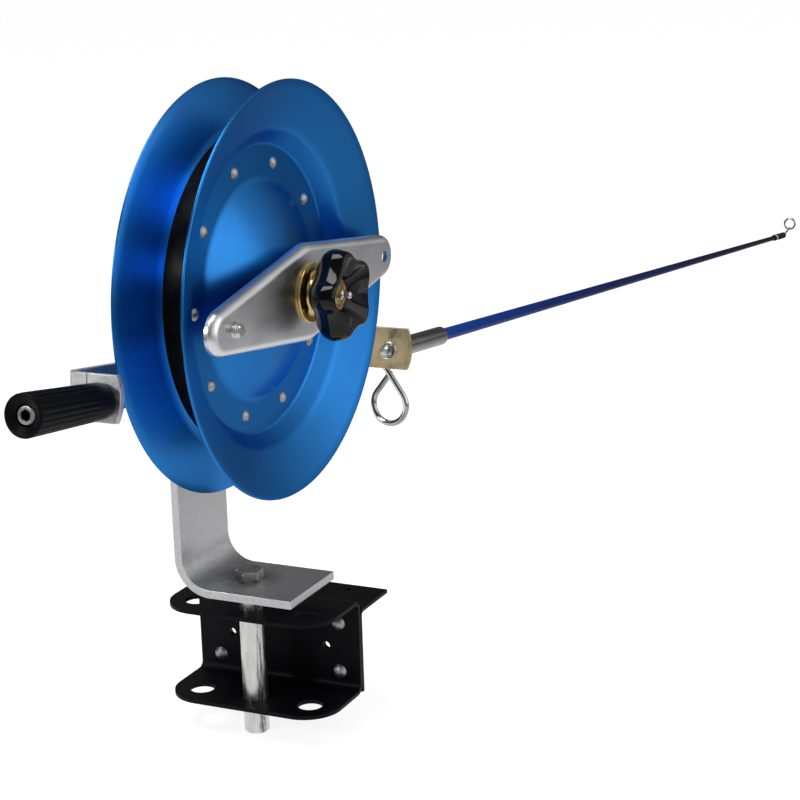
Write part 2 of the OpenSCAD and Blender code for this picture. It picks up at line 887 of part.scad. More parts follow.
module rod_sleeve() {
  color("#9a9c9e")
    at_rod()
      difference() {
        bar_y(sleeve_d / 2, sleeve_start, sleeve_end);
        bar_y(rod_bolt_r + hole_clear, sleeve_start - over, rod_start);
        bar_y(rod_base_d / 2 + hole_clear, rod_start, sleeve_end + over);
      }
}

module rod() {
  color("#1f4fa8")
    at_rod()
      rotate([-90, 0, 0])
        rotate_extrude()
          polygon([
            [0, rod_start], [rod_base_d / 2, rod_start], [rod_base_d / 2, sleeve_end],
            [rod_tip_d / 2, wrap_start], [rod_tip_d / 2, rod_len], [0, rod_len]
          ]);
}

module tip_wrap() {
  wrap_r = rod_tip_d / 2 + wrap_t;
  color("#141416")
    at_rod()
      difference() {
        rotate([-90, 0, 0])
          rotate_extrude()
            polygon([
              [0, wrap_start], [wrap_r - wrap_t / 2, wrap_start], [wrap_r, wrap_start + wrap_t],
              [wrap_r, wrap_end - wrap_t], [wrap_r - wrap_t, wrap_end], [0, wrap_end]
            ]);
        bar_y(rod_tip_d / 2 + hole_clear, wrap_start - over, rod_len + hole_clear);
      }
}

module tip_eye() {
  ring_r = (eye_in_d + eye_wire_d) / 2;
  stem = [eye_y - wrap_end, eye_lift];
  color("#c8cacc")
    at_rod()
      difference() {
        union() {
          translate([0, eye_y, eye_lift + ring_r - eye_wire_d / 2])
            rotate([90, 0, 0])
              rotate_extrude() translate([ring_r, 0]) circle(d = eye_wire_d);
          translate([0, wrap_end, 0])
            rotate([turn_of(stem) - 90, 0, 0])
              translate([0, 0, -eye_wire_d]) cylinder(d = eye_wire_d, h = norm(stem) + eye_wire_d);
        }
        bar_y(rod_tip_d, wrap_end - 2 * eye_wire_d, wrap_end);
      }
}

// Route of the guide's wire in the rod's frame: down behind the bracket, round the loop and up again
// behind itself. The second strand lies further outboard than the first.
function guide_route() =
  let (
    middle = [-guide_shift, -guide_drop],
    first_y = strip_t + guide_wire_d / 2 + hole_clear,
    step_y = guide_wire_d + guide_gap,
    // Directions of the two strands on their way down and up
    down = [sin(guide_slope), -cos(guide_slope)],
    up = [sin(guide_slope), cos(guide_slope)],
    // Points where the strands leave the loop
    right = middle + guide_loop_r * [cos(guide_slope), sin(guide_slope)],
    left = middle + guide_loop_r * [-cos(guide_slope), sin(guide_slope)],
    crossing = guide_loop_r / tan(guide_slope),
    tail = crossing + guide_wire_d / 5,
    head = (guide_drop + right[1] - middle[1]) / cos(guide_slope) - strip_h / 4,
    turn = 180 + 2 * guide_slope,
    steps = 20
  )
  concat(
    [for (i = [0 : 4]) let (p = right - down * head * (1 - i / 5)) [p[0], first_y, p[1]]],
    [for (i = [0 : steps])
      let (
        a = guide_slope - turn * i / steps,
        p = middle + guide_loop_r * [cos(a), sin(a)],
        rise = (1 - cos(180 * i / steps)) / 2
      )
      [p[0], first_y + step_y * rise, p[1]]],
    [for (i = [1 : 4]) let (p = left + up * tail * i / 4) [p[0], first_y + step_y, p[1]]]
  );

// Tube of a given number of sides along a route that lies nearly square to y
module tube_along(route, r, sides) {
  last = len(route) - 1;
  rings = [for (i = [0 : last])
    let (
      along = unit(route[min(i + 1, last)] - route[max(i - 1, 0)]),
      side = unit(cross(along, [0, 1, 0])),
      out = cross(side, along)
    )
    for (k = [0 : sides - 1])
      route[i] + r * (cos(360 * k / sides) * side + sin(360 * k / sides) * out)];
  walls = [for (i = [0 : last - 1])
    for (k = [0 : sides - 1])
      let (a = i * sides + k, b = i * sides + (k + 1) % sides)
      each [[a, b, b + sides], [a, b + sides, a + sides]]];
  caps = [
    [for (k = [sides - 1 : -1 : 0]) k],
    [for (k = [0 : sides - 1]) last * sides + k]
  ];
  polyhedron(points = rings, faces = concat(walls, caps), convexity = 6);
}

module line_guide() {
  color("#cfd2d4")
    at_rod() tube_along(guide_route(), guide_wire_d / 2, 12);
}

module grip_bolt() {
  head_y = -grip_len + grip_hollow - end_play;
  color("#b9bcbe")
    at_grip()
      difference() {
        union() {
          bar_y(grip_bolt_r, head_y, lever_t + grip_nut_h + chamfer);
          bar_y(grip_head_d / 2, head_y - grip_head_h, head_y);
        }
        hex_y(grip_key_af, head_y - grip_head_h - over, head_y - grip_head_h / 2);
      }
}

module grip_nut() {
  color("#b9bcbe")
    at_grip()
      difference() {
        hex_y(grip_nut_af, lever_t, lever_t + grip_nut_h);
        bar_y(grip_bolt_r + hole_clear, lever_t - over, lever_t + grip_nut_h + over);
      }
}

module grip() {
  inner_r = grip_inner_d / 2;
  outer_r = grip_outer_d / 2;
  mouth_r = grip_head_d / 2 + chamfer;
  shoulder = 10;
  edge = 2;
  color("#1b1b1e")
    at_grip()
      rotate([90, 0, 0])
        rotate_extrude()
          polygon(concat(
            [[grip_bolt_r + grip_clear, end_play], [inner_r - 2 * edge, end_play]],
            rounded([inner_r - 2 * edge, end_play], [inner_r - edge / 2, end_play + edge],
              [inner_r, shoulder], 2 * edge),
            rounded([inner_r, shoulder], [outer_r, grip_len], [mouth_r, grip_len], edge),
            [[mouth_r, grip_len], [mouth_r, grip_len - grip_hollow],
             [grip_bolt_r + grip_clear, grip_len - grip_hollow]]
          ));
}

// Disc with a rolled front edge, drawn in by inset and open to the back
module pressed_disc(r, inset, back) {
  roll = crank_roll_r - inset;
  front = crank_face - inset;
  edge = r - inset;
  rotate([0, 90, 0])
    rotate_extrude($fn = 48)
      polygon(concat(
        [[0, back], [edge, back]],
        [for (i = [0 : arc_steps])
          let (a = 90 * i / arc_steps)
          [edge - roll + roll * cos(a), front - roll + roll * sin(a)]],
        [[0, front]]
      ));
}

// Lozenge with rolled edges: a large disc between two small ones
module pressed_lozenge(inset, back) {
  end_y = crank_half - crank_end_r;
  hull() {
    pressed_disc(crank_mid_r, inset, back);
    for (side = [-1, 1])
      translate([0, side * end_y, 0]) pressed_disc(crank_end_r, inset, back);
  }
}

module crank_plate() {
  back = crank_face - crank_skirt;
  color("#c9ccd0")
    at_axle()
      rotate([crank_angle, 0, 0])
        difference() {
          pressed_lozenge(0, back);
          pressed_lozenge(crank_t, back - over);
          bar_x(crank_collar_r + hole_clear, crank_inner - over, crank_face + over);
          translate([0, -crank_stud_reach, 0])
            bar_x(stud_neck_r + hole_clear, crank_inner - over, crank_face + over);
          translate([0, crank_hole_reach, 0])
            bar_x(crank_hole_d / 2, crank_inner - over, crank_face + over);
        }
}

module crank_hub() {
  waist_r = crank_collar_r + 4;
  rim = crank_back + 3;
  waist = rim + 4;
  color("#b9bcbe")
    at_axle()
      turned([
        [journal_bore_r, crank_back], [dome_seat_r, crank_back], [dome_seat_r, rim], [waist_r, waist],
        [waist_r, crank_inner], [crank_collar_r, crank_inner], [crank_collar_r, crank_face],
        [journal_bore_r, crank_face]
      ]);
}

module crank_stud() {
  stud_r = crank_stud_d / 2;
  head_r = stud_neck_r + 2 * chamfer;
  head_back = crank_inner - 3;
  stud_end = crank_face + crank_stud_proud;
  color("#b9bcbe")
    at_axle()
      rotate([crank_angle, 0, 0])
        translate([0, -crank_stud_reach, 0])
          turned([
            [0, head_back], [head_r, head_back], [head_r, crank_inner], [stud_neck_r, crank_inner],
            [stud_neck_r, crank_face], [stud_r, crank_face], [stud_r, stud_end - chamfer],
            [stud_r - chamfer, stud_end], [0, stud_end]
          ]);
}

// Outer face of a flange from hub to rim, as radius and height above the joint plane
function flange_face() =
  let (
    foot = [dome_r, sheet_t],
    foot_round = 8,
    ring = [ring_r, sheet_t],
    wall = [wall_r, wall_x],
    rim = [flange_d / 2, flange_w / 2],
    dome_steps = 8,
    dome_end = dome_r - foot_round
  )
  concat(
    [[hub_end_r + hole_clear, seat_x], [dome_seat_r - 1, seat_x]],
    [for (i = [0 : dome_steps])
      let (r = dome_seat_r + (dome_end - dome_seat_r) * i / dome_steps)
      [r, dome_x(r)]],
    rounded([dome_end, dome_x(dome_end)], foot, ring, 1.6 * foot_round),
    rounded(foot, ring, wall, 4),
    rounded(ring, wall, rim, 14),
    [rim]
  );

// Spun dish with its joint face on x = 0, trimmed to the flange's diameter
module dish() {
  face = flange_face();
  intersection() {
    turned(concat(face, reversed(shifted(face, -sheet_t))));
    bar_x(flange_d / 2, -over, flange_w);
  }
}

// Places of the spool rivets round the axle
module spool_rivet_places() {
  for (k = [0 : rivet_count - 1])
    rotate([rivet_turn + 360 * k / rivet_count, 0, 0])
      translate([0, 0, rivet_circle_r]) children();
}

module drilled_dish() {
  difference() {
    dish();
    spool_rivet_places() bar_x(rivet_d / 2 + hole_clear, -over, sheet_t + over);
  }
}

module front_flange() {
  color("#1c6fc4") at_axle() drilled_dish();
}

module rear_flange() {
  color("#1c6fc4") at_axle() mirror([1, 0, 0]) drilled_dish();
}

// Height of the groove wall's inner face above the joint plane at a radius
function groove_x(r) =
  let (
    slope = unit([wall_r - ring_r, wall_x - sheet_t]),
    inner = [ring_r, sheet_t] + sheet_t * [slope[1], -slope[0]]
  )
  inner[1] + (r - inner[0]) * slope[1] / slope[0];

module drum_ring() {
  outer_x = groove_x(drum_r) - drum_clear;
  inner_x = groove_x(drum_in_r) - drum_clear;
  color("#17171a")
    at_axle()
      turned([[drum_in_r, -inner_x], [drum_r, -outer_x], [drum_r, outer_x], [drum_in_r, inner_x]]);
}

module spool_rivets() {
  color("#c9cace")
    at_axle()
      spool_rivet_places() {
        bar_x(rivet_d / 2, -sheet_t, sheet_t);
        for (side = [-1, 1])
          translate([side * sheet_t, 0, 0]) rotate([0, side * 90, 0]) rivet_head(rivet_head_d, rivet_head_h);
      }
}

module spool_hub() {
  color("#c9ccd0")
    at_axle()
      turned([
        [bush_seat_r, -hub_end], [hub_end_r, -hub_end], [hub_end_r, -hub_shoulder], [hub_r, -hub_shoulder],
        [hub_r, hub_shoulder], [hub_end_r, hub_shoulder], [hub_end_r, hub_end], [bush_seat_r, hub_end]
      ]);
}

module hub_bushes() {
  color("#b08d57")
    at_axle()
      for (x = [-hub_end, hub_end - bush_len])
        ring_x(journal_bore_r, bush_r, x, x + bush_len);
}

module friction_disc() {
  color("#6b4a2f")
    at_axle() ring_x(hub_end_r + hole_clear, dome_seat_r - 1, seat_x, friction_end);
}

module drag_cup() {
  flange_front = cup_back + cup_flange;
  edge = 0.6;
  dish_drop = 0.8;
  fillet = 4;
  color("#c9a24a")
    at_axle()
      turned(concat(
        [[journal_bore_r, cup_back], [cup_r - edge, cup_back], [cup_r, cup_back + edge],
         [cup_r, flange_front - edge], [cup_r - edge, flange_front]],
        rounded([cup_r - edge, flange_front], [cup_neck_r, flange_front - dish_drop],
          [cup_neck_r, cup_end], fillet),
        [[cup_neck_r, cup_end - edge], [cup_neck_r - edge, cup_end], [journal_bore_r, cup_end]]
      ));
}

// Outline of the star knob in Y and Z: round lobes joined by tangent hollows
module star_outline() {
  lobe_at = knob_r - knob_lobe_r;
  half = 180 / knob_lobes;
  hollow_r = (lobe_at * lobe_at + knob_valley_r * knob_valley_r
      - 2 * lobe_at * knob_valley_r * cos(half) - knob_lobe_r * knob_lobe_r)
    / (2 * (knob_lobe_r - knob_valley_r + lobe_at * cos(half)));
  hollow_at = knob_valley_r + hollow_r;
  difference() {
    union() {
      polygon([for (k = [0 : 2 * knob_lobes - 1])
        let (reach = k % 2 == 0 ? lobe_at : hollow_at)
        reach * [cos(half * k + 90), sin(half * k + 90)]]);
      for (k = [0 : knob_lobes - 1])
        rotate(2 * half * k + 90) translate([lobe_at, 0]) circle(r = knob_lobe_r);
    }
    for (k = [0 : knob_lobes - 1])
      rotate(2 * half * k + half + 90) translate([hollow_at, 0]) circle(r = hollow_r);
  }
}

module star_knob() {
  rim = 2.5;
  back_r = knob_valley_r - 8;
  hollow_front_r = knob_valley_r - 0.5;
  color("#141417")
    at_axle() rotate([knob_angle, 0, 0])
      difference() {
        intersection() {
          translate([knob_back, 0, 0])
            rotate([90, 0, 90]) linear_extrude(knob_len) star_outline();
          turned(concat(
            [[0, knob_back], [back_r, knob_back]],
            rounded([back_r, knob_back], [knob_r - rim, knob_back + knob_len / 4],
              [knob_r, knob_back + knob_len / 2], 4),
            rounded([knob_r, knob_back + knob_len / 2], [knob_r, knob_front], [0, knob_front], rim),
            [[0, knob_front]]
          ));
        }
        turned([
          [0, insert_front], [insert_r, insert_front], [hollow_front_r, knob_front],
          [hollow_front_r, knob_front + over], [0, knob_front + over]
        ]);
        bar_x(insert_r + hole_clear, knob_back - over, knob_front);
      }
}

module knob_insert() {
  edge = 0.8;
  color("#c9a24a")
    at_axle()
      turned([
        [thread_bore_r, knob_back], [insert_r, knob_back], [insert_r, insert_front - edge],
        [insert_r - edge, insert_front], [thread_bore_r, insert_front]
      ]);
}

clamp_bracket();
gunwale_angle();
bracket_rivets();
post();
upright();
foot_bolt();
axle();
axle_washer();
axle_nut();
rear_spacer();
thrust_washer();
pivot_bolt();
pivot_washers();
pivot_nut();
grease_nipple();
lever_bar();
rod_bracket();
rod_bracket_bolts();
rod_bracket_nuts();
rod_bolt();
rod_washer();
rod_sleeve();
rod();
tip_wrap();
tip_eye();
line_guide();
grip_bolt();
grip_nut();
grip();
crank_plate();
crank_hub();
crank_stud();
front_flange();
rear_flange();
drum_ring();
spool_rivets();
spool_hub();
hub_bushes();
friction_disc();
drag_cup();
star_knob();
knob_insert();
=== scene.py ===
import math

import bmesh
import bpy
from mathutils import Matrix, Vector


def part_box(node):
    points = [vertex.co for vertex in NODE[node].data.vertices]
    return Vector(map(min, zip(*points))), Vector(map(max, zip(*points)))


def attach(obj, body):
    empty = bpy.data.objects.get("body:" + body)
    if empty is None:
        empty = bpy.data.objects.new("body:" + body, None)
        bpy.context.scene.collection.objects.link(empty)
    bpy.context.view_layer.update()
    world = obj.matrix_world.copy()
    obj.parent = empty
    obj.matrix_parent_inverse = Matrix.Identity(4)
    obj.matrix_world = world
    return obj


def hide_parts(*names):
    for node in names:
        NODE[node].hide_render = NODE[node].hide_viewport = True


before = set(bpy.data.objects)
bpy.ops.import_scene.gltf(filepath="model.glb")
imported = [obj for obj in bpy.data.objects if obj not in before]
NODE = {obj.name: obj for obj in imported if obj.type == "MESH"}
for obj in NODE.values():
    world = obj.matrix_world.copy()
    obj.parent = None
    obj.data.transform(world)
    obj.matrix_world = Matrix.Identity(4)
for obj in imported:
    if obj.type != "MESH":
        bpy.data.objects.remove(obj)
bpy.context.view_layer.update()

MM = 0.001


def mid(node):
    low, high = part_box(node)
    return (low + high) / 2


# Frames of the moving pieces, from the solids and the lever's two angles
LEVER_TILT = math.radians(-8.0)
ROD_COCK = math.radians(2.3)
CRANK_ANGLE = math.radians(1.6)
SPOOL = mid("drum_ring")
PIVOT = Vector((SPOOL.x, mid("pivot_nut").y, mid("pivot_nut").z))
ROD_BACK = 36.0
ROD_FACE = 218.5
GRIP_X, GRIP_DROP = -22.9, 1.2
LEVER_BACK = 174.0
LEVER_TURN = (LEVER_TILT, 0, 0)
# Scribed line on the leg: x from the spool, and world y just inside and on the outer face
SCRIBE_X, LEG_FACE = -35.0, (-0.2120, -0.2125)
AXLE = Matrix.Translation(SPOOL) @ Matrix.Scale(MM, 4)
CRANK = Matrix.Translation(SPOOL) @ Matrix.Rotation(CRANK_ANGLE, 4, "X") @ Matrix.Scale(MM, 4)
LEVER = Matrix.Translation(PIVOT) @ Matrix.Rotation(LEVER_TILT, 4, "X") @ Matrix.Scale(MM, 4)
ROD = (
    LEVER
    @ Matrix.Translation((0, ROD_FACE - ROD_BACK, 0))
    @ Matrix.Rotation(ROD_COCK, 4, "X")
    @ Matrix.Translation((0, ROD_BACK, -ROD_BACK * math.sin(ROD_COCK)))
)
GRIP = LEVER @ Matrix.Translation((GRIP_X, -LEVER_BACK, -GRIP_DROP))
# Turn local x to the direction that a lathe shape runs in
ALONG_Y = Matrix.Rotation(math.radians(90), 4, "Z")
BACK_Y = Matrix.Rotation(math.radians(-90), 4, "Z")


# Materials

def material(name):
    mat = bpy.data.materials.new(name)
    mat.use_nodes = True
    tree = mat.node_tree
    shader = tree.nodes["Principled BSDF"]
    return mat, tree, shader


def add(tree, kind, **settings):
    node = tree.nodes.new(kind)
    for key, value in settings.items():
        setattr(node, key, value)
    return node


def coordinates(tree, scale=(1, 1, 1), turn=(0, 0, 0), centre=(0, 0, 0)):
    """Object coordinates about a centre, turned and then stretched."""
    source = add(tree, "ShaderNodeTexCoord")
    place = add(tree, "ShaderNodeMapping", vector_type="TEXTURE")
    place.inputs["Location"].default_value = centre
    place.inputs["Rotation"].default_value = turn
    tree.links.new(source.outputs["Object"], place.inputs["Vector"])
    stretch = add(tree, "ShaderNodeMapping")
    stretch.inputs["Scale"].default_value = scale
    tree.links.new(place.outputs["Vector"], stretch.inputs["Vector"])
    return stretch.outputs["Vector"]


def noise(tree, vector, scale, detail=3.0, rough=0.55):
    node = add(tree, "ShaderNodeTexNoise")
    node.inputs["Scale"].default_value = scale
    node.inputs["Detail"].default_value = detail
    node.inputs["Roughness"].default_value = rough
    tree.links.new(vector, node.inputs["Vector"])
    return node.outputs["Fac"]


def ramp(tree, value, stops):
    node = add(tree, "ShaderNodeValToRGB")
    elements = node.color_ramp.elements
    while len(elements) < len(stops):
        elements.new(0.5)
    for element, (place, colour) in zip(elements, stops):
        element.position = place
        element.color = (*colour, 1.0)
    tree.links.new(value, node.inputs["Fac"])
    return node.outputs["Color"]


def remap(tree, value, low, high, to_low, to_high):
    node = add(tree, "ShaderNodeMapRange")
    node.inputs["From Min"].default_value = low
    node.inputs["From Max"].default_value = high
    node.inputs["To Min"].default_value = to_low
    node.inputs["To Max"].default_value = to_high
    tree.links.new(value, node.inputs["Value"])
    return node.outputs["Result"]


def combined(tree, operation, first, second):
    node = add(tree, "ShaderNodeMath", operation=operation)
    tree.links.new(first, node.inputs[0])
    tree.links.new(second, node.inputs[1])
    return node.outputs["Value"]

def blended(tree, factor, first, second):
    """One shader or another, by a factor."""
    node = add(tree, "ShaderNodeMixShader")
    for socket, source in zip(node.inputs, (factor, first, second)):
        tree.links.new(source, socket)
    return node.outputs[0]

def mixed(tree, factor, first, second):
    """One colour or another, by a factor; each is a socket or a constant."""
    node = add(tree, "ShaderNodeMix", data_type="RGBA")
    for socket, value in ((node.inputs[0], factor), (node.inputs[6], first), (node.inputs[7], second)):
        if isinstance(value, bpy.types.NodeSocket):
            tree.links.new(value, socket)
        elif isinstance(value, (int, float)):
            socket.default_value = value
        else:
            socket.default_value = (*value, 1.0)
    return node.outputs[2]


def edge_mask(tree, radius, low=0.02, high=0.3):
    """Near 1 where the surface turns a sharp edge within the radius, 0 on flat faces."""
    bevel = add(tree, "ShaderNodeBevel", samples=6)
    bevel.inputs["Radius"].default_value = radius
    face = add(tree, "ShaderNodeNewGeometry")
    dot = add(tree, "ShaderNodeVectorMath", operation="DOT_PRODUCT")
    tree.links.new(bevel.outputs["Normal"], dot.inputs[0])
    tree.links.new(face.outputs["Normal"], dot.inputs[1])
    return remap(tree, dot.outputs["Value"], 1.0 - low, 1.0 - high, 0.0, 1.0)


def bumped(tree, shader, height, strength, distance, round_edge=0.0):
    bump = add(tree, "ShaderNodeBump")
    bump.inputs["Strength"].default_value = strength
    bump.inputs["Distance"].default_value = distance
    tree.links.new(height, bump.inputs["Height"])
    if round_edge:
        bevel = add(tree, "ShaderNodeBevel", samples=6)
        bevel.inputs["Radius"].default_value = round_edge
        tree.links.new(bevel.outputs["Normal"], bump.inputs["Normal"])
    tree.links.new(bump.outputs["Normal"], shader.inputs["Normal"])


def metal(
    name, dark, light, rough, grain=(1, 1, 1), turn=(0, 0, 0), cloud=14.0, grain_scale=60.0,
    bump=0.08, spread=0.1, edge=0.0, edge_highlight_colour=None,
):
    """Bare or plated metal: cloudy colour, a grain that can be drawn out one way, softened edges, and paler
    sharp edges as a painted highlight where an edge colour is given.
    """
    mat, tree, shader = material(name)
    plain = coordinates(tree)
    drawn = coordinates(tree, scale=grain, turn=turn)
    clouds = noise(tree, plain, cloud, 4.0)
    lines = noise(tree, drawn, grain_scale, 5.0, 0.65)
    both = add(tree, "ShaderNodeMath", operation="MULTIPLY_ADD")
    tree.links.new(lines, both.inputs[0])
    both.inputs[1].default_value = 0.7
    tree.links.new(clouds, both.inputs[2])
    colour = ramp(tree, remap(tree, both.outputs["Value"], 0.5, 1.2, 0.0, 1.0), [(0.2, dark), (0.8, light)])
    # Painted highlight: a paler colour on sharp edges
    if edge and edge_highlight_colour:
        colour = mixed(tree, edge_mask(tree, edge), colour, edge_highlight_colour)
    tree.links.new(colour, shader.inputs["Base Color"])
    uneven = remap(tree, both.outputs["Value"], 0.5, 1.2, rough - spread, rough + spread)
    tree.links.new(uneven, shader.inputs["Roughness"])
    shader.inputs["Metallic"].default_value = 1.0
    bumped(tree, shader, lines, bump, 0.0004, edge)
    return mat


def plastic(
    name, dark, light, rough, grain_scale=900.0, bump=0.06, spread=0.06, coat=0.0, edge=0.0,
    edge_highlight_colour=None, cloud=20.0, specular=0.5,
):
    """Moulded or lacquered surface: slight mottling, a fine skin texture, softened edges, and paler sharp
    edges as a painted highlight where an edge colour is given.
    """
    mat, tree, shader = material(name)
    plain = coordinates(tree)
    clouds = noise(tree, plain, cloud, 5.0)
    skin = noise(tree, plain, grain_scale, 3.0)
    colour = ramp(tree, clouds, [(0.3, dark), (0.72, light)])
    # Painted highlight: a paler colour on sharp edges
    if edge and edge_highlight_colour:
        colour = mixed(tree, edge_mask(tree, edge), colour, edge_highlight_colour)
    tree.links.new(colour, shader.inputs["Base Color"])
    uneven = remap(tree, clouds, 0.25, 0.75, rough - spread, rough + spread)
    tree.links.new(uneven, shader.inputs["Roughness"])
    shader.inputs["Specular IOR Level"].default_value = specular
    shader.inputs["Coat Weight"].default_value = coat
    shader.inputs["Coat Roughness"].default_value = 0.06
    bumped(tree, shader, skin, bump, 0.0003, edge)
    return mat


def spun_blue():
    """Anodised dish: fine rings from spinning, drawn out highlights, and a paler blue on sharp edges and the
    rim as a painted highlight.
    """
    mat, tree, shader = material("blue_anodised")
    place = coordinates(tree, centre=SPOOL)
    split = add(tree, "ShaderNodeSeparateXYZ")
    tree.links.new(place, split.inputs["Vector"])
    flat = add(tree, "ShaderNodeCombineXYZ")
    tree.links.new(split.outputs["Y"], flat.inputs["Y"])
    tree.links.new(split.outputs["Z"], flat.inputs["Z"])
    reach = add(tree, "ShaderNodeVectorMath", operation="LENGTH")
    tree.links.new(flat.outputs["Vector"], reach.inputs[0])
    rings = add(tree, "ShaderNodeTexNoise", noise_dimensions="1D")
    rings.inputs["Scale"].default_value = 1400.0
    rings.inputs["Detail"].default_value = 3.0
    tree.links.new(reach.outputs["Value"], rings.inputs["W"])
    clouds = noise(tree, place, 9.0, 4.0)
    colour = ramp(tree, clouds, [(0.3, (0.010, 0.175, 0.540)), (0.72, (0.014, 0.210, 0.610))])
    # Paler blue on sharp edges: a painted highlight
    colour = mixed(tree, edge_mask(tree, 0.0007, 0.05, 0.5), colour, (0.05, 0.32, 0.76))
    tree.links.new(colour, shader.inputs["Base Color"])
    tree.links.new(remap(tree, rings.outputs["Fac"], 0.3, 0.7, 0.30, 0.40), shader.inputs["Roughness"])
    shader.inputs["Metallic"].default_value = 1.0
    shader.inputs["Specular Tint"].default_value = (0.35, 0.58, 0.86, 1)
    shader.inputs["Anisotropic"].default_value = 0.75
    shader.inputs["Anisotropic Rotation"].default_value = 0.25
    shader.inputs["Coat Weight"].default_value = 0.28
    shader.inputs["Coat Roughness"].default_value = 0.30
    tangent = add(tree, "ShaderNodeTangent", direction_type="RADIAL", axis="X")
    tree.links.new(tangent.outputs["Tangent"], shader.inputs["Tangent"])
    bumped(tree, shader, rings.outputs["Fac"], 0.05, 0.0002)
    return mat


def stained_post_with_painted_shade():
    """Bright drawn bar with grey patches, dark runs of staining, and a broken dark band of painted shade down
    the side toward the camera's right.
    """
    mat, tree, shader = material("post_steel")
    runs = noise(tree, coordinates(tree, scale=(320, 320, 34)), 1.0, 6.0, 0.75)
    patches = noise(tree, coordinates(tree, scale=(260, 260, 60)), 1.0, 6.0, 0.75)
    colour = ramp(tree, patches, [(0.3, (0.50, 0.50, 0.48)), (0.62, (0.76, 0.76, 0.74))])
    # Share of the bar's radius toward the camera's right, across the band of painted shade
    side = add(tree, "ShaderNodeVectorMath", operation="DOT_PRODUCT")
    tree.links.new(coordinates(tree, centre=mid("post")), side.inputs[0])
    side.inputs[1].default_value = (95.6, 44.1, 0.0)
    band = ramp(tree, remap(tree, side.outputs["Value"], -1.0, 1.0, 0.0, 1.0), [
        (0.56, (0, 0, 0)), (0.68, (0.24, 0.24, 0.24)), (0.82, (0.20, 0.20, 0.20)), (0.93, (0.02, 0.02, 0.02)),
    ])
    # Painted shade along one side of the bar, joined with dark runs of real staining
    stains_and_painted_shade = remap(tree, combined(tree, "ADD", runs, band), 0.66, 0.80, 0.0, 0.92)
    colour = mixed(tree, stains_and_painted_shade, colour, (0.055, 0.05, 0.045))
    tree.links.new(colour, shader.inputs["Base Color"])
    tree.links.new(remap(tree, patches, 0.3, 0.7, 0.20, 0.40), shader.inputs["Roughness"])
    shader.inputs["Metallic"].default_value = 1.0
    bumped(tree, shader, runs, 0.15, 0.0004, 0.0004)
    return mat


def overlaid(mat, factor_of, colour):
    """Lay a second colour over a material's own where a mask says so."""
    tree = mat.node_tree
    socket = tree.nodes["Principled BSDF"].inputs["Base Color"]
    below = socket.links[0].from_socket
    tree.links.new(mixed(tree, factor_of(tree), below, colour), socket)


def bolt_shade_and_grime(tree):
    """Painted shade on the foot around the bolt head, broken up by patchy grime, fading away from the bolt.
    """
    bolt = mid("foot_bolt")
    reach = add(tree, "ShaderNodeVectorMath", operation="LENGTH")
    tree.links.new(coordinates(tree, scale=(1, 1, 0), centre=bolt), reach.inputs[0])
    patchy = noise(tree, coordinates(tree), 130.0, 5.0, 0.7)
    near = remap(tree, reach.outputs["Value"], 0.011, 0.027, 1.0, 0.0)
    return combined(tree, "MULTIPLY", near, remap(tree, patchy, 0.3, 0.65, 0.25, 0.95))


def scribed_line(tree):
    """Fine line across the outer face of the grip's leg, where the bend ends."""
    along = add(tree, "ShaderNodeSeparateXYZ")
    tree.links.new(coordinates(tree, centre=(SPOOL.x + SCRIBE_X * MM, 0, 0)), along.inputs["Vector"])
    off = add(tree, "ShaderNodeMath", operation="ABSOLUTE")
    tree.links.new(along.outputs["X"], off.inputs[0])
    line = remap(tree, off.outputs["Value"], 0.00025, 0.00055, 0.85, 0.0)
    outer = remap(tree, along.outputs["Y"], *LEG_FACE, 0.0, 1.0)
    return combined(tree, "MULTIPLY", line, outer)


def socket_painted_shade(tree):
    """Painted shade inside the hexagon socket of the grip's screw: near 1 close to the screw's axis."""
    axis = (GRIP @ Vector((0, -1, 0)) - GRIP @ Vector((0, 0, 0))).normalized()
    off = add(tree, "ShaderNodeVectorMath", operation="CROSS_PRODUCT")
    tree.links.new(coordinates(tree, centre=GRIP @ Vector((0, 0, 0))), off.inputs[0])
    off.inputs[1].default_value = axis
    reach = add(tree, "ShaderNodeVectorMath", operation="LENGTH")
    tree.links.new(off.outputs["Vector"], reach.inputs[0])
    return remap(tree, reach.outputs["Value"], 0.0034, 0.0039, 0.97, 0.0)


def rod_lacquer():
    """Clear lacquer over glass fibre that runs from bright blue at the sleeve to navy at the tip."""
    mat, tree, shader = material("rod_blue")
    place = coordinates(tree)
    along = add(tree, "ShaderNodeSeparateXYZ")
    tree.links.new(place, along.inputs["Vector"])
    cloth = noise(tree, coordinates(tree, scale=(220, 3, 220), turn=LEVER_TURN), 5.0, 3.0)
    colour = ramp(tree, remap(tree, along.outputs["Y"], 0.2, 1.5, 0.0, 1.0), [
        (0.04, (0.002, 0.064, 0.360)), (0.17, (0.002, 0.036, 0.265)), (0.32, (0.001, 0.017, 0.140)),
        (0.53, (0.001, 0.011, 0.105)), (0.68, (0.001, 0.004, 0.038)), (0.90, (0.001, 0.001, 0.014)),
    ])
    colour = mixed(tree, remap(tree, cloth, 0.4, 0.7, 0.0, 0.35), colour, (0.001, 0.006, 0.040))
    tree.links.new(colour, shader.inputs["Base Color"])
    tree.links.new(remap(tree, cloth, 0.3, 0.7, 0.16, 0.26), shader.inputs["Roughness"])
    shader.inputs["Specular IOR Level"].default_value = 0.03
    shader.inputs["Coat Weight"].default_value = 0.05
    shader.inputs["Coat Roughness"].default_value = 0.05
    bumped(tree, shader, cloth, 0.04, 0.0003)
    return mat


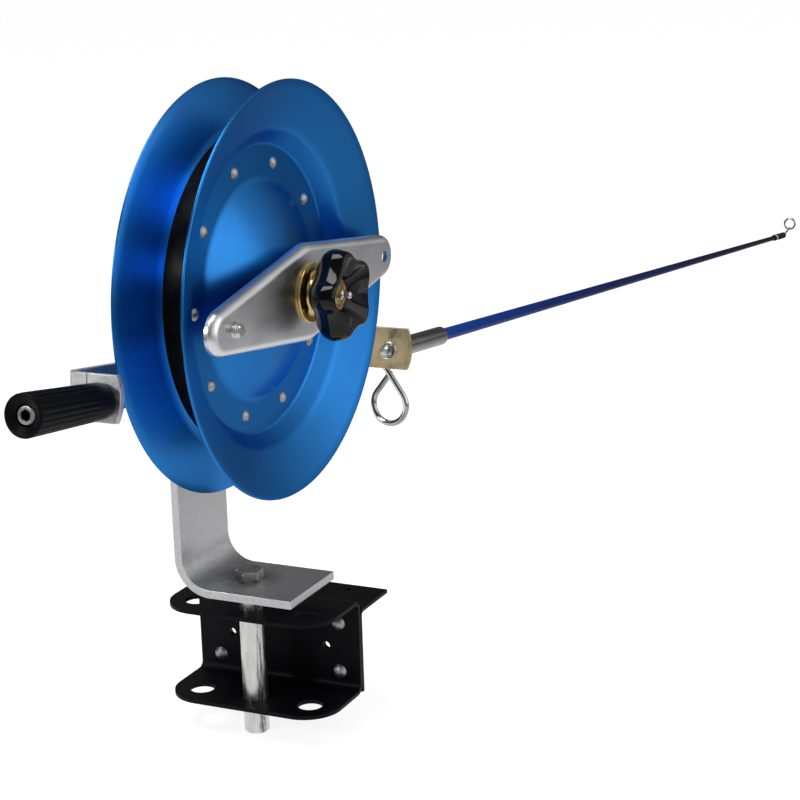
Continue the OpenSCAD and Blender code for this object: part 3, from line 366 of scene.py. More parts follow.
def yellow_zinc(name, stops, rough):
    """Chromated zinc: gold with olive and rose tints that drift over the surface, and pale gold on sharp
    edges as a painted highlight.
    """
    mat, tree, shader = material(name)
    plain = coordinates(tree)
    tint = noise(tree, plain, 70.0, 4.0, 0.6)
    fine = noise(tree, plain, 600.0, 3.0)
    colour = ramp(tree, tint, stops)
    # Pale gold on sharp edges: a painted highlight
    colour = mixed(tree, edge_mask(tree, 0.0005), colour, (0.72, 0.66, 0.48))
    tree.links.new(colour, shader.inputs["Base Color"])
    tree.links.new(remap(tree, tint, 0.3, 0.7, rough - 0.07, rough + 0.09), shader.inputs["Roughness"])
    shader.inputs["Metallic"].default_value = 1.0
    bumped(tree, shader, fine, 0.07, 0.0003, 0.0005)
    return mat


# Painted highlight on the edges of the flat bars: width in metres and colour
BAR_EDGE, EDGE_HIGHLIGHT = 0.0009, (0.86, 0.87, 0.88)
ALUMINIUM = ((0.49, 0.49, 0.51), (0.62, 0.62, 0.64))
STEEL = ((0.48, 0.47, 0.44), (0.68, 0.67, 0.64))

blue = spun_blue()
post_steel = stained_post_with_painted_shade()
upright_metal = metal(
    "upright_aluminium", *ALUMINIUM, 0.38, (260, 420, 260), cloud=300.0, grain_scale=3.0,
    edge=BAR_EDGE, edge_highlight_colour=EDGE_HIGHLIGHT, bump=0.20,
)
lever_metal = metal(
    "lever_aluminium", (0.62, 0.62, 0.64), (0.78, 0.78, 0.80), 0.46, (260, 260, 420), LEVER_TURN,
    cloud=300.0, grain_scale=3.0, edge=BAR_EDGE, edge_highlight_colour=EDGE_HIGHLIGHT, bump=0.18,
)
plate_metal = metal("polished_plate", (0.74, 0.74, 0.76), (0.84, 0.84, 0.86), 0.33, (12, 12, 90), cloud=26.0,
                    grain_scale=4.0, bump=0.03, spread=0.05)
rivet_metal = metal(
    "rivet_aluminium", (0.30, 0.30, 0.30), (0.50, 0.50, 0.50), 0.46,
    cloud=260.0, grain_scale=700.0, bump=0.25,
)
bolt_metal = metal("zinc_steel", *STEEL, 0.24, cloud=70.0, grain_scale=400.0, edge=0.0005,
                   edge_highlight_colour=(0.78, 0.78, 0.76))
screw_metal = metal(
    "bright_screw", (0.40, 0.40, 0.39), (0.62, 0.62, 0.60), 0.30, cloud=300.0, grain_scale=900.0,
)
turned_metal = metal("turned_aluminium", *ALUMINIUM, 0.28, (900, 12, 12), grain_scale=1.0)
chrome = metal("chrome_wire", (0.42, 0.42, 0.43), (0.55, 0.55, 0.56), 0.07, cloud=60.0, grain_scale=300.0,
               bump=0.02, spread=0.03)
bronze = metal("bronze", (0.44, 0.29, 0.13), (0.60, 0.42, 0.20), 0.38, cloud=90.0, grain_scale=700.0)
gold_strip = yellow_zinc("yellow_zinc_strip", [
    (0.30, (0.34, 0.29, 0.15)), (0.43, (0.58, 0.48, 0.26)),
    (0.56, (0.72, 0.57, 0.31)), (0.70, (0.68, 0.46, 0.29)),
], 0.36)
gold_turned = yellow_zinc("yellow_zinc_turned", [
    (0.28, (0.52, 0.33, 0.10)), (0.45, (0.72, 0.48, 0.17)),
    (0.60, (0.66, 0.52, 0.22)), (0.76, (0.62, 0.38, 0.20)),
], 0.17)
black_paint = plastic(
    "black_paint", (0.0022, 0.0022, 0.0034), (0.0050, 0.0050, 0.0070), 0.46, 1100.0, 0.10,
    edge=0.0008, edge_highlight_colour=(0.012, 0.012, 0.015), cloud=45.0, specular=0.09,
)
knob_black = plastic(
    "knob_black", (0.0015, 0.0015, 0.0018), (0.0032, 0.0032, 0.0038), 0.07, 700.0, 0.01, 0.02, specular=0.28,
)
grip_black = plastic(
    "grip_black", (0.0016, 0.0016, 0.0028), (0.0040, 0.0040, 0.0062), 0.38, 1400.0, 0.12, 0.08, specular=0.08,
)
drum_black = plastic(
    "drum_black", (0.002, 0.002, 0.003), (0.005, 0.005, 0.006), 0.26, 120.0, 0.5, 0.10,
    cloud=90.0, specular=0.03,
)
lining = plastic("lining", (0.08, 0.055, 0.04), (0.15, 0.11, 0.08), 0.75, 1500.0, 0.3)
rod_blue = rod_lacquer()
sleeve_metal = metal(
    "sleeve_polished", (0.27, 0.27, 0.27), (0.37, 0.37, 0.36), 0.07, (60, 6, 60), LEVER_TURN,
    cloud=40.0, grain_scale=6.0, bump=0.03, spread=0.04,
)
wrap_pale = plastic("wrap_pale", (0.55, 0.56, 0.56), (0.72, 0.73, 0.72), 0.30, 1600.0, 0.10, coat=0.8)
wrap_black = plastic(
    "wrap_black", (0.003, 0.003, 0.004), (0.008, 0.008, 0.010), 0.22, 1600.0, 0.10, coat=0.1, specular=0.1,
)

# Painted shade with patchy grime around the foot bolt
overlaid(upright_metal, bolt_shade_and_grime, (0.10, 0.09, 0.075))
overlaid(lever_metal, scribed_line, (0.05, 0.05, 0.05))
# Painted shade deep in the grip screw's socket
overlaid(screw_metal, socket_painted_shade, (0.006, 0.006, 0.006))

LOOKS = {
    black_paint: ["clamp_bracket", "gunwale_angle"],
    rivet_metal: ["bracket_rivets", "spool_rivets"],
    post_steel: ["post"],
    upright_metal: ["upright"],
    lever_metal: ["lever_bar"],
    bolt_metal: [
        "foot_bolt", "axle_washer", "axle_nut", "rear_spacer", "pivot_bolt", "pivot_nut", "rod_bracket_bolts",
        "rod_bracket_nuts", "grip_bolt", "grip_nut", "crank_stud",
    ],
    gold_strip: ["rod_bracket"],
    gold_turned: ["axle", "drag_cup", "knob_insert"],
    chrome: ["tip_eye", "line_guide", "rod_bolt", "rod_washer", "grease_nipple"],
    blue: ["front_flange", "rear_flange"],
    plate_metal: ["crank_plate"],
    turned_metal: ["crank_hub", "spool_hub"],
    bronze: ["hub_bushes", "thrust_washer"],
    lining: ["friction_disc", "pivot_washers"],
    knob_black: ["star_knob"],
    grip_black: ["grip"],
    drum_black: ["drum_ring"],
    rod_blue: ["rod"],
    sleeve_metal: ["rod_sleeve"],
    wrap_black: ["tip_wrap"],
}
for look, names in LOOKS.items():
    for name in names:
        NODE[name].data.materials.clear()
        NODE[name].data.materials.append(look)


# Mesh helpers

def piece(name, points, faces, matrix, look, body, stands_for=(), crease=35.0):
    """One mesh piece: placed, smoothed with sharp edges kept, and set to ride on its body."""
    mesh = bpy.data.meshes.new(name)
    mesh.from_pydata([tuple(p) for p in points], [], faces)
    shape = bmesh.new()
    shape.from_mesh(mesh)
    bmesh.ops.remove_doubles(shape, verts=shape.verts, dist=1e-5)
    bmesh.ops.recalc_face_normals(shape, faces=shape.faces)
    shape.to_mesh(mesh)
    shape.free()
    mesh.transform(matrix)
    for face in mesh.polygons:
        face.use_smooth = True
    mesh.set_sharp_from_angle(angle=math.radians(crease))
    mesh.materials.append(look)
    thing = bpy.data.objects.new(name, mesh)
    bpy.context.scene.collection.objects.link(thing)
    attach(thing, body)
    if stands_for:
        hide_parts(*stands_for)
    return thing


def skinned(rings, steps):
    """Faces that join rings of the same number of points in order."""
    faces = []
    for i in range(rings - 1):
        for k in range(steps):
            m = (k + 1) % steps
            faces.append([i * steps + k, i * steps + m, (i + 1) * steps + m, (i + 1) * steps + k])
    return faces

def lathe(profile, steps):
    """Points and faces of a profile of radius and station, turned about local x."""
    points, faces = [], []
    count = len(profile)
    for k in range(steps):
        a = 2 * math.pi * k / steps
        points += [(x, r * math.cos(a), r * math.sin(a)) for r, x in profile]
    for k in range(steps):
        a, b = k * count, ((k + 1) % steps) * count
        for i in range(count):
            j = (i + 1) % count
            ring = [a + i, a + j, b + j, b + i]
            if profile[i][0] < 1e-6:
                ring = [a + i, a + j, b + j]
            elif profile[j][0] < 1e-6:
                ring = [a + i, a + j, b + i]
            faces.append(ring)
    return points, faces


def arc(centre, radius, start, end, steps):
    return [
        (
            centre[0] + radius * math.cos(math.radians(start + (end - start) * i / steps)),
            centre[1] + radius * math.sin(math.radians(start + (end - start) * i / steps)),
        )
        for i in range(steps + 1)
    ]


def corner(before, at, after, radius, steps=8):
    """Arc that rounds the corner between two lines."""
    at = Vector(at)
    u, v = (Vector(before) - at).normalized(), (Vector(after) - at).normalized()
    half = math.acos(max(-1, min(1, u.dot(v)))) / 2
    middle = at + (u + v).normalized() * (radius / math.sin(half))
    first = at + u * (radius / math.tan(half)) - middle
    last = at + v * (radius / math.tan(half)) - middle
    a, b = math.atan2(first.y, first.x), math.atan2(last.y, last.x)
    sweep = (b - a + 3 * math.pi) % (2 * math.pi) - math.pi
    turns = [a + sweep * i / steps for i in range(steps + 1)]
    return [(middle.x + radius * math.cos(t), middle.y + radius * math.sin(t)) for t in turns]


def offset(path, distance):
    """The path moved to its right by a distance."""
    moved = []
    for i, p in enumerate(path):
        a, b = Vector(path[max(i - 1, 0)]), Vector(path[min(i + 1, len(path) - 1)])
        along = (b - a).normalized()
        moved.append((p[0] + along.y * distance, p[1] - along.x * distance))
    return moved


def tube(route, radius, sides=20):
    """Points and faces of a round wire with domed ends along a route of vectors."""
    points = []
    count = len(route)
    rings = []
    for i, p in enumerate(route):
        along = (route[min(i + 1, count - 1)] - route[max(i - 1, 0)]).normalized()
        side = along.cross(Vector((0, 1, 0))).normalized()
        rings.append((p, along, side, side.cross(along), radius))
    caps = 4
    start = [
        (rings[0][0] - rings[0][1] * radius * math.sin(a), *rings[0][1:4], radius * math.cos(a))
        for a in [math.pi / 2 * k / caps for k in range(caps - 1, 0, -1)]
    ]
    end = [
        (rings[-1][0] + rings[-1][1] * radius * math.sin(a), *rings[-1][1:4], radius * math.cos(a))
        for a in [math.pi / 2 * k / caps for k in range(1, caps)]
    ]
    rings = start + rings + end
    for p, along, side, out, r in rings:
        for k in range(sides):
            a = 2 * math.pi * k / sides
            points.append(p + side * (r * math.cos(a)) + out * (r * math.sin(a)))
    faces = skinned(len(rings), sides)
    faces += [list(range(sides)), [(len(rings) - 1) * sides + k for k in range(sides)]]
    return points, faces


def loft(sections, steps=96):
    """Round and hexagonal sections of station, radius and shape along local x, joined in order.

    A crown or foot is a hexagon whose corners are taken off by a cone above or below it.
    """
    points = []
    for x, r, shape in sections:
        for k in range(steps):
            a = 2 * math.pi * k / steps
            corner_r = r / math.cos((a + math.pi / 6) % (math.pi / 3) - math.pi / 6)
            fall = max(0.0, corner_r - r) * math.tan(math.pi / 6)
            reach = r if shape == "round" else corner_r
            at = x - fall if shape == "crown" else x + fall if shape == "foot" else x
            points.append((at, reach * math.cos(a), reach * math.sin(a)))
    return points, skinned(len(sections), steps)


def threaded(head, tail, start, end, radius, pitch, depth, steps=48):
    """A screw thread along local x between turned ends, which are lists of radius and station."""
    rings = [[(x, r)] * steps for r, x in head]
    count = max(8, round((end - start) / pitch * 10))
    for i in range(count + 1):
        x = start + (end - start) * i / count
        fade = min(1.0, 0.3 + (x - start) / pitch, 0.3 + (end - x) / pitch)
        ring = []
        for k in range(steps):
            phase = (x / pitch - k / steps) % 1.0
            height = min(1.0, max(0.0, 1.25 * abs(2 * phase - 1) - 0.1))
            ring.append((x, radius - depth * (1 - height * fade)))
        rings.append(ring)
    rings += [[(x, r)] * steps for r, x in tail]
    points = []
    for ring in rings:
        for k, (x, r) in enumerate(ring):
            a = 2 * math.pi * k / steps
            points.append((x, r * math.cos(a), r * math.sin(a)))
    return points, skinned(len(rings), steps)


# Spun flanges: dome, rivet ring, groove wall and flare, with a rounded rim
SHEET = 2.0
RIM_ROUND = 0.7
DOME_R, DOME_H, SEAT_R = 79.0, 23.0, 26.0
CURVE_R = (DOME_R * DOME_R + DOME_H * DOME_H) / (2 * DOME_H)


def dome_x(r):
    return SHEET + DOME_H - CURVE_R + math.sqrt(CURVE_R * CURVE_R - r * r)


def dish_profile():
    seat_x = dome_x(SEAT_R)
    foot, ring, wall, rim = (DOME_R, SHEET), (104.0, SHEET), (114.5, 14.0), (148.5, 27.56)
    dome_end = DOME_R - 8.0
    face = [(19.1, seat_x), (SEAT_R - 1, seat_x)]
    face += [(r, dome_x(r)) for r in [SEAT_R + (dome_end - SEAT_R) * i / 20 for i in range(21)]]
    face += corner(face[-1], foot, ring, 12.8)
    face += corner(foot, ring, wall, 4.0)
    face += corner(ring, wall, rim, 14.0)
    face += [
        (wall[0] + (rim[0] - wall[0]) * k / 6, wall[1] + (rim[1] - wall[1]) * k / 6)
        for k in range(2, 7)
    ]
    back = offset(face, SHEET)
    a, b = Vector(face[-1]), Vector(back[-1])
    middle = (a + b) / 2
    out = Vector((a.y - b.y, b.x - a.x)).normalized()
    half = (a - b) / 2
    turns = (0.5, 1.0, 1.57, 2.14, 2.64)
    edge = [tuple(middle + half * math.cos(t) + out * (math.sin(t) * RIM_ROUND)) for t in turns]
    return face + edge + back[::-1]


dish = dish_profile()
points, faces = lathe(dish, 192)
piece("front_dish", points, faces, AXLE, blue, "spool", ["front_flange"], 50.0)
points, faces = lathe([(r, -x) for r, x in dish], 192)
piece("rear_dish", points, faces, AXLE, blue, "spool", ["rear_flange"], 50.0)


# Crank plate: pressed lozenge with a rolled edge and three holes
MID_R, END_R, HALF = 35.0, 16.0, 138.5
FACE, PLATE_T, SKIRT, ROLL = 44.0, 2.5, 8.0, 6.0
STUD_Y, STUD_NECK = -112.0, 6.0
HOLE_Y, HOLE_R = 122.0, 4.25
COLLAR_R = 15.1


def lozenge():
    """Outline points with outward directions, in y and z."""
    reach = HALF - END_R
    lean = math.degrees(math.asin((MID_R - END_R) / reach))
    sections = [
        (reach, END_R, -90 + lean, 90 - lean, 36),
        (0.0, MID_R, 90 - lean, 90 + lean, 12),
        (-reach, END_R, 90 + lean, 270 - lean, 36),
        (0.0, MID_R, 270 - lean, 270 + lean, 12),
    ]
    outline = []
    for y, r, start, end, steps in sections:
        for i in range(steps + 1):
            a = math.radians(start + (end - start) * i / steps)
            out = Vector((math.cos(a), math.sin(a)))
            outline.append((Vector((y, 0.0)) + out * r, out))
    return outline


def crank_plate():
    outline = lozenge()
    shape = bmesh.new()
    outer = [(0.0, FACE - SKIRT), (0.0, FACE - ROLL)]
    outer += [(ROLL - c, x) for c, x in arc((0, FACE - ROLL), ROLL, 0, 90, 10)]
    inner_roll = ROLL - PLATE_T
    inner = [(ROLL - c, x) for c, x in arc((0, FACE - ROLL), inner_roll, 90, 0, 8)]
    inner += [(PLATE_T, FACE - ROLL), (PLATE_T - 0.4, FACE - SKIRT), (0.4, FACE - SKIRT - 0.35)]
    profile = outer + inner
    rings = []
    for inset, x in profile:
        rings.append([shape.verts.new((x, *(p - out * inset))) for p, out in outline])
    count = len(outline)
    flat = len(outer) - 1
    for i in range(len(rings)):
        j = (i + 1) % len(rings)
        if i == flat:
            continue
        for k in range(count):
            m = (k + 1) % count
            shape.faces.new((rings[i][k], rings[i][m], rings[j][m], rings[j][k]))
    holes = [(0.0, COLLAR_R, 64), (STUD_Y, STUD_NECK + 0.1, 32), (HOLE_Y, HOLE_R, 32)]
    loops = []
    for x in (FACE, FACE - PLATE_T):
        for y, r, steps in holes:
            turns = [2 * math.pi * k / steps for k in range(steps)]
            loops.append([shape.verts.new((x, y + r * math.cos(a), r * math.sin(a))) for a in turns])
    for front, back in zip(loops[:3], loops[3:]):
        for k in range(len(front)):
            m = (k + 1) % len(front)
            shape.faces.new((front[k], front[m], back[m], back[k]))
    for ring, group in ((rings[flat], loops[:3]), (rings[flat + 1], loops[3:])):
        edges = []
        for loop in [ring] + group:
            for k in range(len(loop)):
                a, b = loop[k], loop[(k + 1) % len(loop)]
                edges.append(shape.edges.get((a, b)) or shape.edges.new((a, b)))
        bmesh.ops.triangle_fill(shape, use_beauty=True, edges=edges)
    shape.verts.index_update()
    points = [v.co.copy() for v in shape.verts]
    faces = [[v.index for v in f.verts] for f in shape.faces]
    shape.free()
    return points, faces


points, faces = crank_plate()
piece("crank_pan", points, faces, CRANK, plate_metal, "crank", ["crank_plate"], 30.0)


# Star knob: five round lobes, a rounded back, and a hollow front with folds that run to the valleys
KNOB_R, VALLEY_R, LOBE_R, LOBES = 33.5, 27.0, 11.0, 5
KNOB_BACK, KNOB_LEN, KNOB_HOLLOW, INSERT_R = 53.2, 24.0, 10.5, 11.8
KNOB_TURN = math.radians(11.0)
KNOB_LIP, KNOB_FOLD = 0.835, 2.5
# Depth from the knob's back and share of its outline
KNOB_SIDE = [
    (0.0, 0.60), (0.25, 0.665), (1.1, 0.735), (2.6, 0.815), (4.6, 0.885), (6.6, 0.937), (8.6, 0.970),
    (10.6, 0.990), (12.4, 0.999), (13.6, 1.0), (15.0, 0.997), (17.5, 0.984), (20.0, 0.967), (21.6, 0.953),
    (22.6, 0.938), (23.3, 0.918), (23.75, 0.895), (24.0, 0.870), (24.0, 0.855), (23.75, KNOB_LIP),
]


def star(turn):
    """Radius of the knob's outline at an angle from a lobe."""
    reach = KNOB_R - LOBE_R
    half = math.pi / LOBES
    bend = reach * reach + VALLEY_R * VALLEY_R - 2 * reach * VALLEY_R * math.cos(half) - LOBE_R * LOBE_R
    bend /= 2 * (LOBE_R - VALLEY_R + reach * math.cos(half))
    far = VALLEY_R + bend
    a = abs((turn + half) % (2 * half) - half)
    # Angle where lobe and hollow meet
    lobe, hollow = Vector((reach, 0)), Vector((far * math.cos(half), far * math.sin(half)))
    meet = lobe + (hollow - lobe).normalized() * LOBE_R
    if a <= math.atan2(meet.y, meet.x):
        return reach * math.cos(a) + math.sqrt(LOBE_R ** 2 - (reach * math.sin(a)) ** 2)
    b = half - a
    return far * math.cos(b) - math.sqrt(bend * bend - (far * math.sin(b)) ** 2)


def knob():
    front = KNOB_BACK + KNOB_LEN
    base = front - KNOB_HOLLOW
    steps = 240
    outline = [star(2 * math.pi * k / steps) for k in range(steps)]
    fold = [KNOB_FOLD * (1 - abs(math.cos(LOBES * math.pi * k / steps))) for k in range(steps)]
    rings = [[(KNOB_BACK + depth, share * r) for r in outline] for depth, share in KNOB_SIDE]
    for t in (0.92, 0.8, 0.66, 0.52, 0.38, 0.24, 0.1, 0.0):
        bend = math.sin(math.pi * t)
        rings.append([
            (base + (front - 0.5 - base) * t, INSERT_R + (KNOB_LIP * r - INSERT_R) * t - bend * f)
            for r, f in zip(outline, fold)
        ])
    rings.append([(base - 1.0, INSERT_R)] * steps)
    rings.append([(KNOB_BACK, INSERT_R)] * steps)
    points, faces = [], []
    for ring in rings:
        for k, (x, r) in enumerate(ring):
            a = math.pi / 2 + KNOB_TURN + 2 * math.pi * k / steps
            points.append((x, r * math.cos(a), r * math.sin(a)))
    count = len(rings)
    for i in range(count):
        j = (i + 1) % count
        for k in range(steps):
            m = (k + 1) % steps
            faces.append([i * steps + k, i * steps + m, j * steps + m, j * steps + k])
    return points, faces


points, faces = knob()
piece("knob_body", points, faces, AXLE, knob_black, "knob", ["star_knob"], 28.0)


# Grip: tapered sleeve with fine flutes, a domed inner end and a dished outer end
GRIP_LEN, GRIP_ROOT_R, GRIP_END_R = 88.85, 12.7, 14.45
FLUTES, FLUTE_DEPTH = 22, 0.6


def grip():
    bore, mouth, hollow, land, shoulder = 4.05, 7.5, 11.0, 7.5, 9.0
    steps = 264
    taper = GRIP_END_R - GRIP_ROOT_R
    body = GRIP_LEN - 3.0 - shoulder
    profile = [(bore, 0.1, 0.0), (land, 0.1, 0.0)]
    root = corner((land, 0.1), (GRIP_ROOT_R - 0.4, 0.1), (GRIP_ROOT_R, shoulder), 4.5)
    profile += [(r, x, 0.0) for r, x in root]
    for t in [i / 30 for i in range(1, 30)]:
        profile.append((GRIP_ROOT_R + taper * t, shoulder + body * t, min(1.0, max(0.0, (t - 0.1) * 7))))
    rim = corner((GRIP_END_R - 0.05, GRIP_LEN - 5.0), (GRIP_END_R, GRIP_LEN), (land, GRIP_LEN), 1.4)
    profile += [(r, x, 0.6 if i < 3 else 0.0) for i, (r, x) in enumerate(rim)]
    profile += [(11.8, GRIP_LEN - 0.1, 0.0), (10.8, GRIP_LEN - 0.9, 0.0), (8.3, GRIP_LEN - 2.4, 0.0)]
    profile += [(mouth, GRIP_LEN - 2.9, 0.0), (mouth, GRIP_LEN - hollow, 0.0), (bore, GRIP_LEN - hollow, 0.0)]
    points, faces = [], []
    for k in range(steps):
        a = 2 * math.pi * k / steps
        dip = 0.5 * (1 - math.cos(FLUTES * a)) ** 2 / 2
        for r, x, share in profile:
            radius = r - FLUTE_DEPTH * dip * share
            points.append((x, radius * math.cos(a), radius * math.sin(a)))
    count = len(profile)
    for k in range(steps):
        a, b = k * count, ((k + 1) % steps) * count
        for i in range(count):
            j = (i + 1) % count
            faces.append([a + i, a + j, b + j, b + i])
    return points, faces


points, faces = grip()
piece("grip_sleeve", points, faces, GRIP @ BACK_Y, grip_black, "grip", ["grip"], 40.0)

# Socket head screw in the grip
GRIP_SCREW = [
    (-12.0, 0, "round"), (-12.0, 3.4, "round"), (-11.4, 4.0, "round"), (78.1, 4.0, "round"),
    (78.1, 6.5, "round"), (85.2, 6.5, "round"), (86.05, 5.7, "round"), (86.1, 5.5, "round"),
    (86.1, 3.75, "round"), (85.6, 3.1, "hex"), (80.2, 3.0, "hex"), (79.4, 0, "round"),
]
points, faces = loft(GRIP_SCREW)
piece("grip_screw", points, faces, GRIP @ BACK_Y, screw_metal, "lever", ["grip_bolt"], 30.0)


# Lever bar: flat bar bent to the grip's leg, whose end is cut to an arc
BAR_OUT, BAR_T, BAR_H, BAR_FRONT = -53.4, 5.0, 32.0, 205.0
BAR_BEND, LEG_END, LEG_ROUND = 12.0, -8.9, 3.5
PIVOT_HOLE_R, GRIP_HOLE_R, STRIP_HOLE_R = 5.05, 4.1, 3.1
# Places of the strip's bolts along the rod's frame
STRIP_HOLES = (-26.0, -46.0)


def flat_plate(outline, holes, lift):
    """Points and faces of a pierced plate, without the wall on the last edge of its outline.

    Outline and holes are loops in two coordinates, and lift takes these and a side, 0 or 1, to a point.
    """
    shape = bmesh.new()
    sides = []
    for side in (0, 1):
        loops = [[shape.verts.new(lift(u, v, side)) for u, v in loop] for loop in [outline] + holes]
        edges = [shape.edges.new((loop[k - 1], loop[k])) for loop in loops for k in range(len(loop))]
        bmesh.ops.triangle_fill(shape, use_beauty=True, edges=edges)
        sides.append(loops)
    for i, (near, far) in enumerate(zip(*sides)):
        for k in range(len(near)):
            if (i, k) != (0, len(outline) - 1):
                m = (k + 1) % len(near)
                shape.faces.new((near[k], near[m], far[m], far[k]))
    shape.verts.index_update()
    points = [v.co.copy() for v in shape.verts]
    faces = [[v.index for v in f.verts] for f in shape.faces]
    shape.free()
    return points, faces


def lever_bar():
    half = BAR_H / 2
    bend_x, bend_y = BAR_OUT + BAR_BEND, BAR_BEND - LEVER_BACK
    bolts = [LEVER.inverted() @ ROD @ Vector((0, y, 0)) for y in STRIP_HOLES]
    arm_holes = [arc((0, 0), PIVOT_HOLE_R, 0, 354, 59)]
    arm_holes += [arc((p.y, p.z), STRIP_HOLE_R, 0, 350, 35) for p in bolts]
    arm = [(bend_y, half), (BAR_FRONT, half), (BAR_FRONT, -half), (bend_y, -half)]
    round_r = (half * half + LEG_ROUND * LEG_ROUND) / (2 * LEG_ROUND)
    spread = math.degrees(math.asin(half / round_r))
    leg = [(bend_x, half), *arc((LEG_END - round_r, 0), round_r, spread, -spread, 20), (bend_x, -half)]
    leg_holes = [arc((GRIP_X, -GRIP_DROP), GRIP_HOLE_R, 0, 350, 35)]
    points, faces = flat_plate(arm, arm_holes, lambda y, z, side: (BAR_OUT + side * BAR_T, y, z))
    more, extra = flat_plate(leg, leg_holes, lambda x, z, side: (x, side * BAR_T - LEVER_BACK, z))
    faces += [[len(points) + k for k in face] for face in extra]
    points += more
    steps = 16
    outer = arc((bend_x, bend_y), BAR_BEND, 180, 270, steps)
    inner = arc((bend_x, bend_y), BAR_BEND - BAR_T, 180, 270, steps)
    faces += [[len(points) + k for k in face] for face in skinned(steps + 1, 4)]
    for a, b in zip(outer, inner):
        points += [(*a, half), (*a, -half), (*b, -half), (*b, half)]
    return points, faces


points, faces = lever_bar()
piece("lever_strip", points, faces, LEVER, lever_metal, "lever", ["lever_bar"], 30.0)


# Line guide: one bent wire
WIRE_R, LOOP_R, SLOPE, DROP, SHIFT, WIRE_GAP = 2.5, 16.0, math.radians(36.0), 46.0, 2.3, 1.2
STRIP_T, STRIP_H = 3.0, 34.0


def guide_route():
    middle = Vector((-SHIFT, -DROP))
    first = STRIP_T + WIRE_R + 0.1
    step = 2 * WIRE_R + WIRE_GAP
    down, up = Vector((math.sin(SLOPE), -math.cos(SLOPE))), Vector((math.sin(SLOPE), math.cos(SLOPE)))
    right = middle + LOOP_R * Vector((math.cos(SLOPE), math.sin(SLOPE)))
    left = middle + LOOP_R * Vector((-math.cos(SLOPE), math.sin(SLOPE)))
    tail = LOOP_R / math.tan(SLOPE) - 1.1 * WIRE_R
    head = (DROP + right.y - middle.y) / math.cos(SLOPE) - STRIP_H / 4
    turn = math.pi + 2 * SLOPE
    route = []
    for i in range(12):
        p = right - down * (head * (1 - i / 12))
        route.append(Vector((p.x, first, p.y)))
    for i in range(65):
        a = SLOPE - turn * i / 64
        p = middle + LOOP_R * Vector((math.cos(a), math.sin(a)))
        route.append(Vector((p.x, first + step * (1 - math.cos(math.pi * i / 64)) / 2, p.y)))
    for i in range(1, 13):
        p = left + up * (tail * i / 12)
        route.append(Vector((p.x, first + step, p.y)))
    return route


points, faces = tube(guide_route(), WIRE_R)
piece("guide_wire", points, faces, ROD, chrome, "lever", ["line_guide"], 60.0)


# Rod bolt with a domed hexagon head, its bevelled washer, and the sleeve
ROD_SCREW = [
    (-29.9, 0, "round"), (-29.9, 2.5, "round"), (-29.4, 3.0, "round"), (1.5, 3.0, "round"),
    (1.5, 3.9, "round"), (2.1, 3.9, "round"), (2.3, 4.6, "foot"), (4.7, 4.6, "crown"),
    (4.95, 4.1, "round"), (5.25, 3.3, "round"), (5.45, 2.2, "round"), (5.5, 0, "round"),
]
points, faces = loft(ROD_SCREW)
piece("rod_screw", points, faces, ROD @ BACK_Y, screw_metal, "lever", ["rod_bolt"], 25.0)
ROD_RING = [
    (3.1, 0), (7.3, 0), (7.5, 0.2), (7.5, 0.7), (7.1, 1.35), (6.6, 1.5), (6.0, 1.35), (5.0, 0.6), (3.1, 0.5),
]
points, faces = lathe(ROD_RING, 64)
piece("rod_ring", points, faces, ROD @ BACK_Y, bolt_metal, "lever", ["rod_washer"], 25.0)
SLEEVE = [
    (3.1, 3.0), (7.6, 3.0), (8.0, 3.4), *arc((7.0, 104.0), 1.0, 0, 90, 6),
    (5.7, 105.0), (5.5, 104.7), (5.5, 31.0), (3.1, 31.0),
]
points, faces = lathe(SLEEVE, 64)
piece(
    "sleeve_tube", points, faces, ROD @ ALONG_Y, sleeve_metal, "lever",
    ["rod_sleeve"], 30.0,
)


# Crank stud with its thread, riveted over behind the plate
STUD_BACK = [(0, 38.5), (7.5, 38.5), (8.0, 39.0), (8.0, 41.5), (6.0, 41.5), (6.0, 44.0), (4.7, 44.0)]
STUD_TIP = [(4.0, 50.0), (0, 50.0)]
STUD = CRANK @ Matrix.Translation((0, STUD_Y, 0))
points, faces = threaded(STUD_BACK, STUD_TIP, start=44.2, end=49.2, radius=5.0, pitch=1.5, depth=0.85)
piece("stud_screw", points, faces, STUD, bolt_metal, "crank", ["crank_stud"], 30.0)


# Drag cup: a thin flange with a dished front that sweeps up to the neck
CUP = [
    (10.05, 44.1), (20.9, 44.1), *arc((20.9, 44.7), 0.6, -90, 0, 5), *arc((20.9, 45.5), 0.6, 0, 90, 5),
    (20.1, 45.95), (18.6, 45.6), *corner((18.6, 45.6), (12.5, 45.3), (12.5, 52.4), 4.0, 14),
    (12.5, 52.5), (11.9, 53.1), (10.05, 53.1),
]
points, faces = lathe(CUP, 96)
piece("drag_sleeve", points, faces, AXLE, gold_turned, "drag", ["drag_cup"], 35.0)


# Axle with a thread at its rear end
AXLE_REAR = [(0, -79.5), (6.4, -79.5), (7.0, -79.2)]
AXLE_FRONT = [
    (8.0, -60.5), (10.0, -60.5), (10.0, 53.1), (8.0, 53.1), (8.0, 65.7), (7.2, 66.7), (3.2, 66.7),
    (3.0, 66.4), (3.0, 61.0), (0, 61.0),
]
points, faces = threaded(AXLE_REAR, AXLE_FRONT, start=-78.9, end=-60.6, radius=8.0, pitch=2.0, depth=1.0)
piece("axle_bar", points, faces, AXLE, gold_turned, "stand", ["axle"], 30.0)


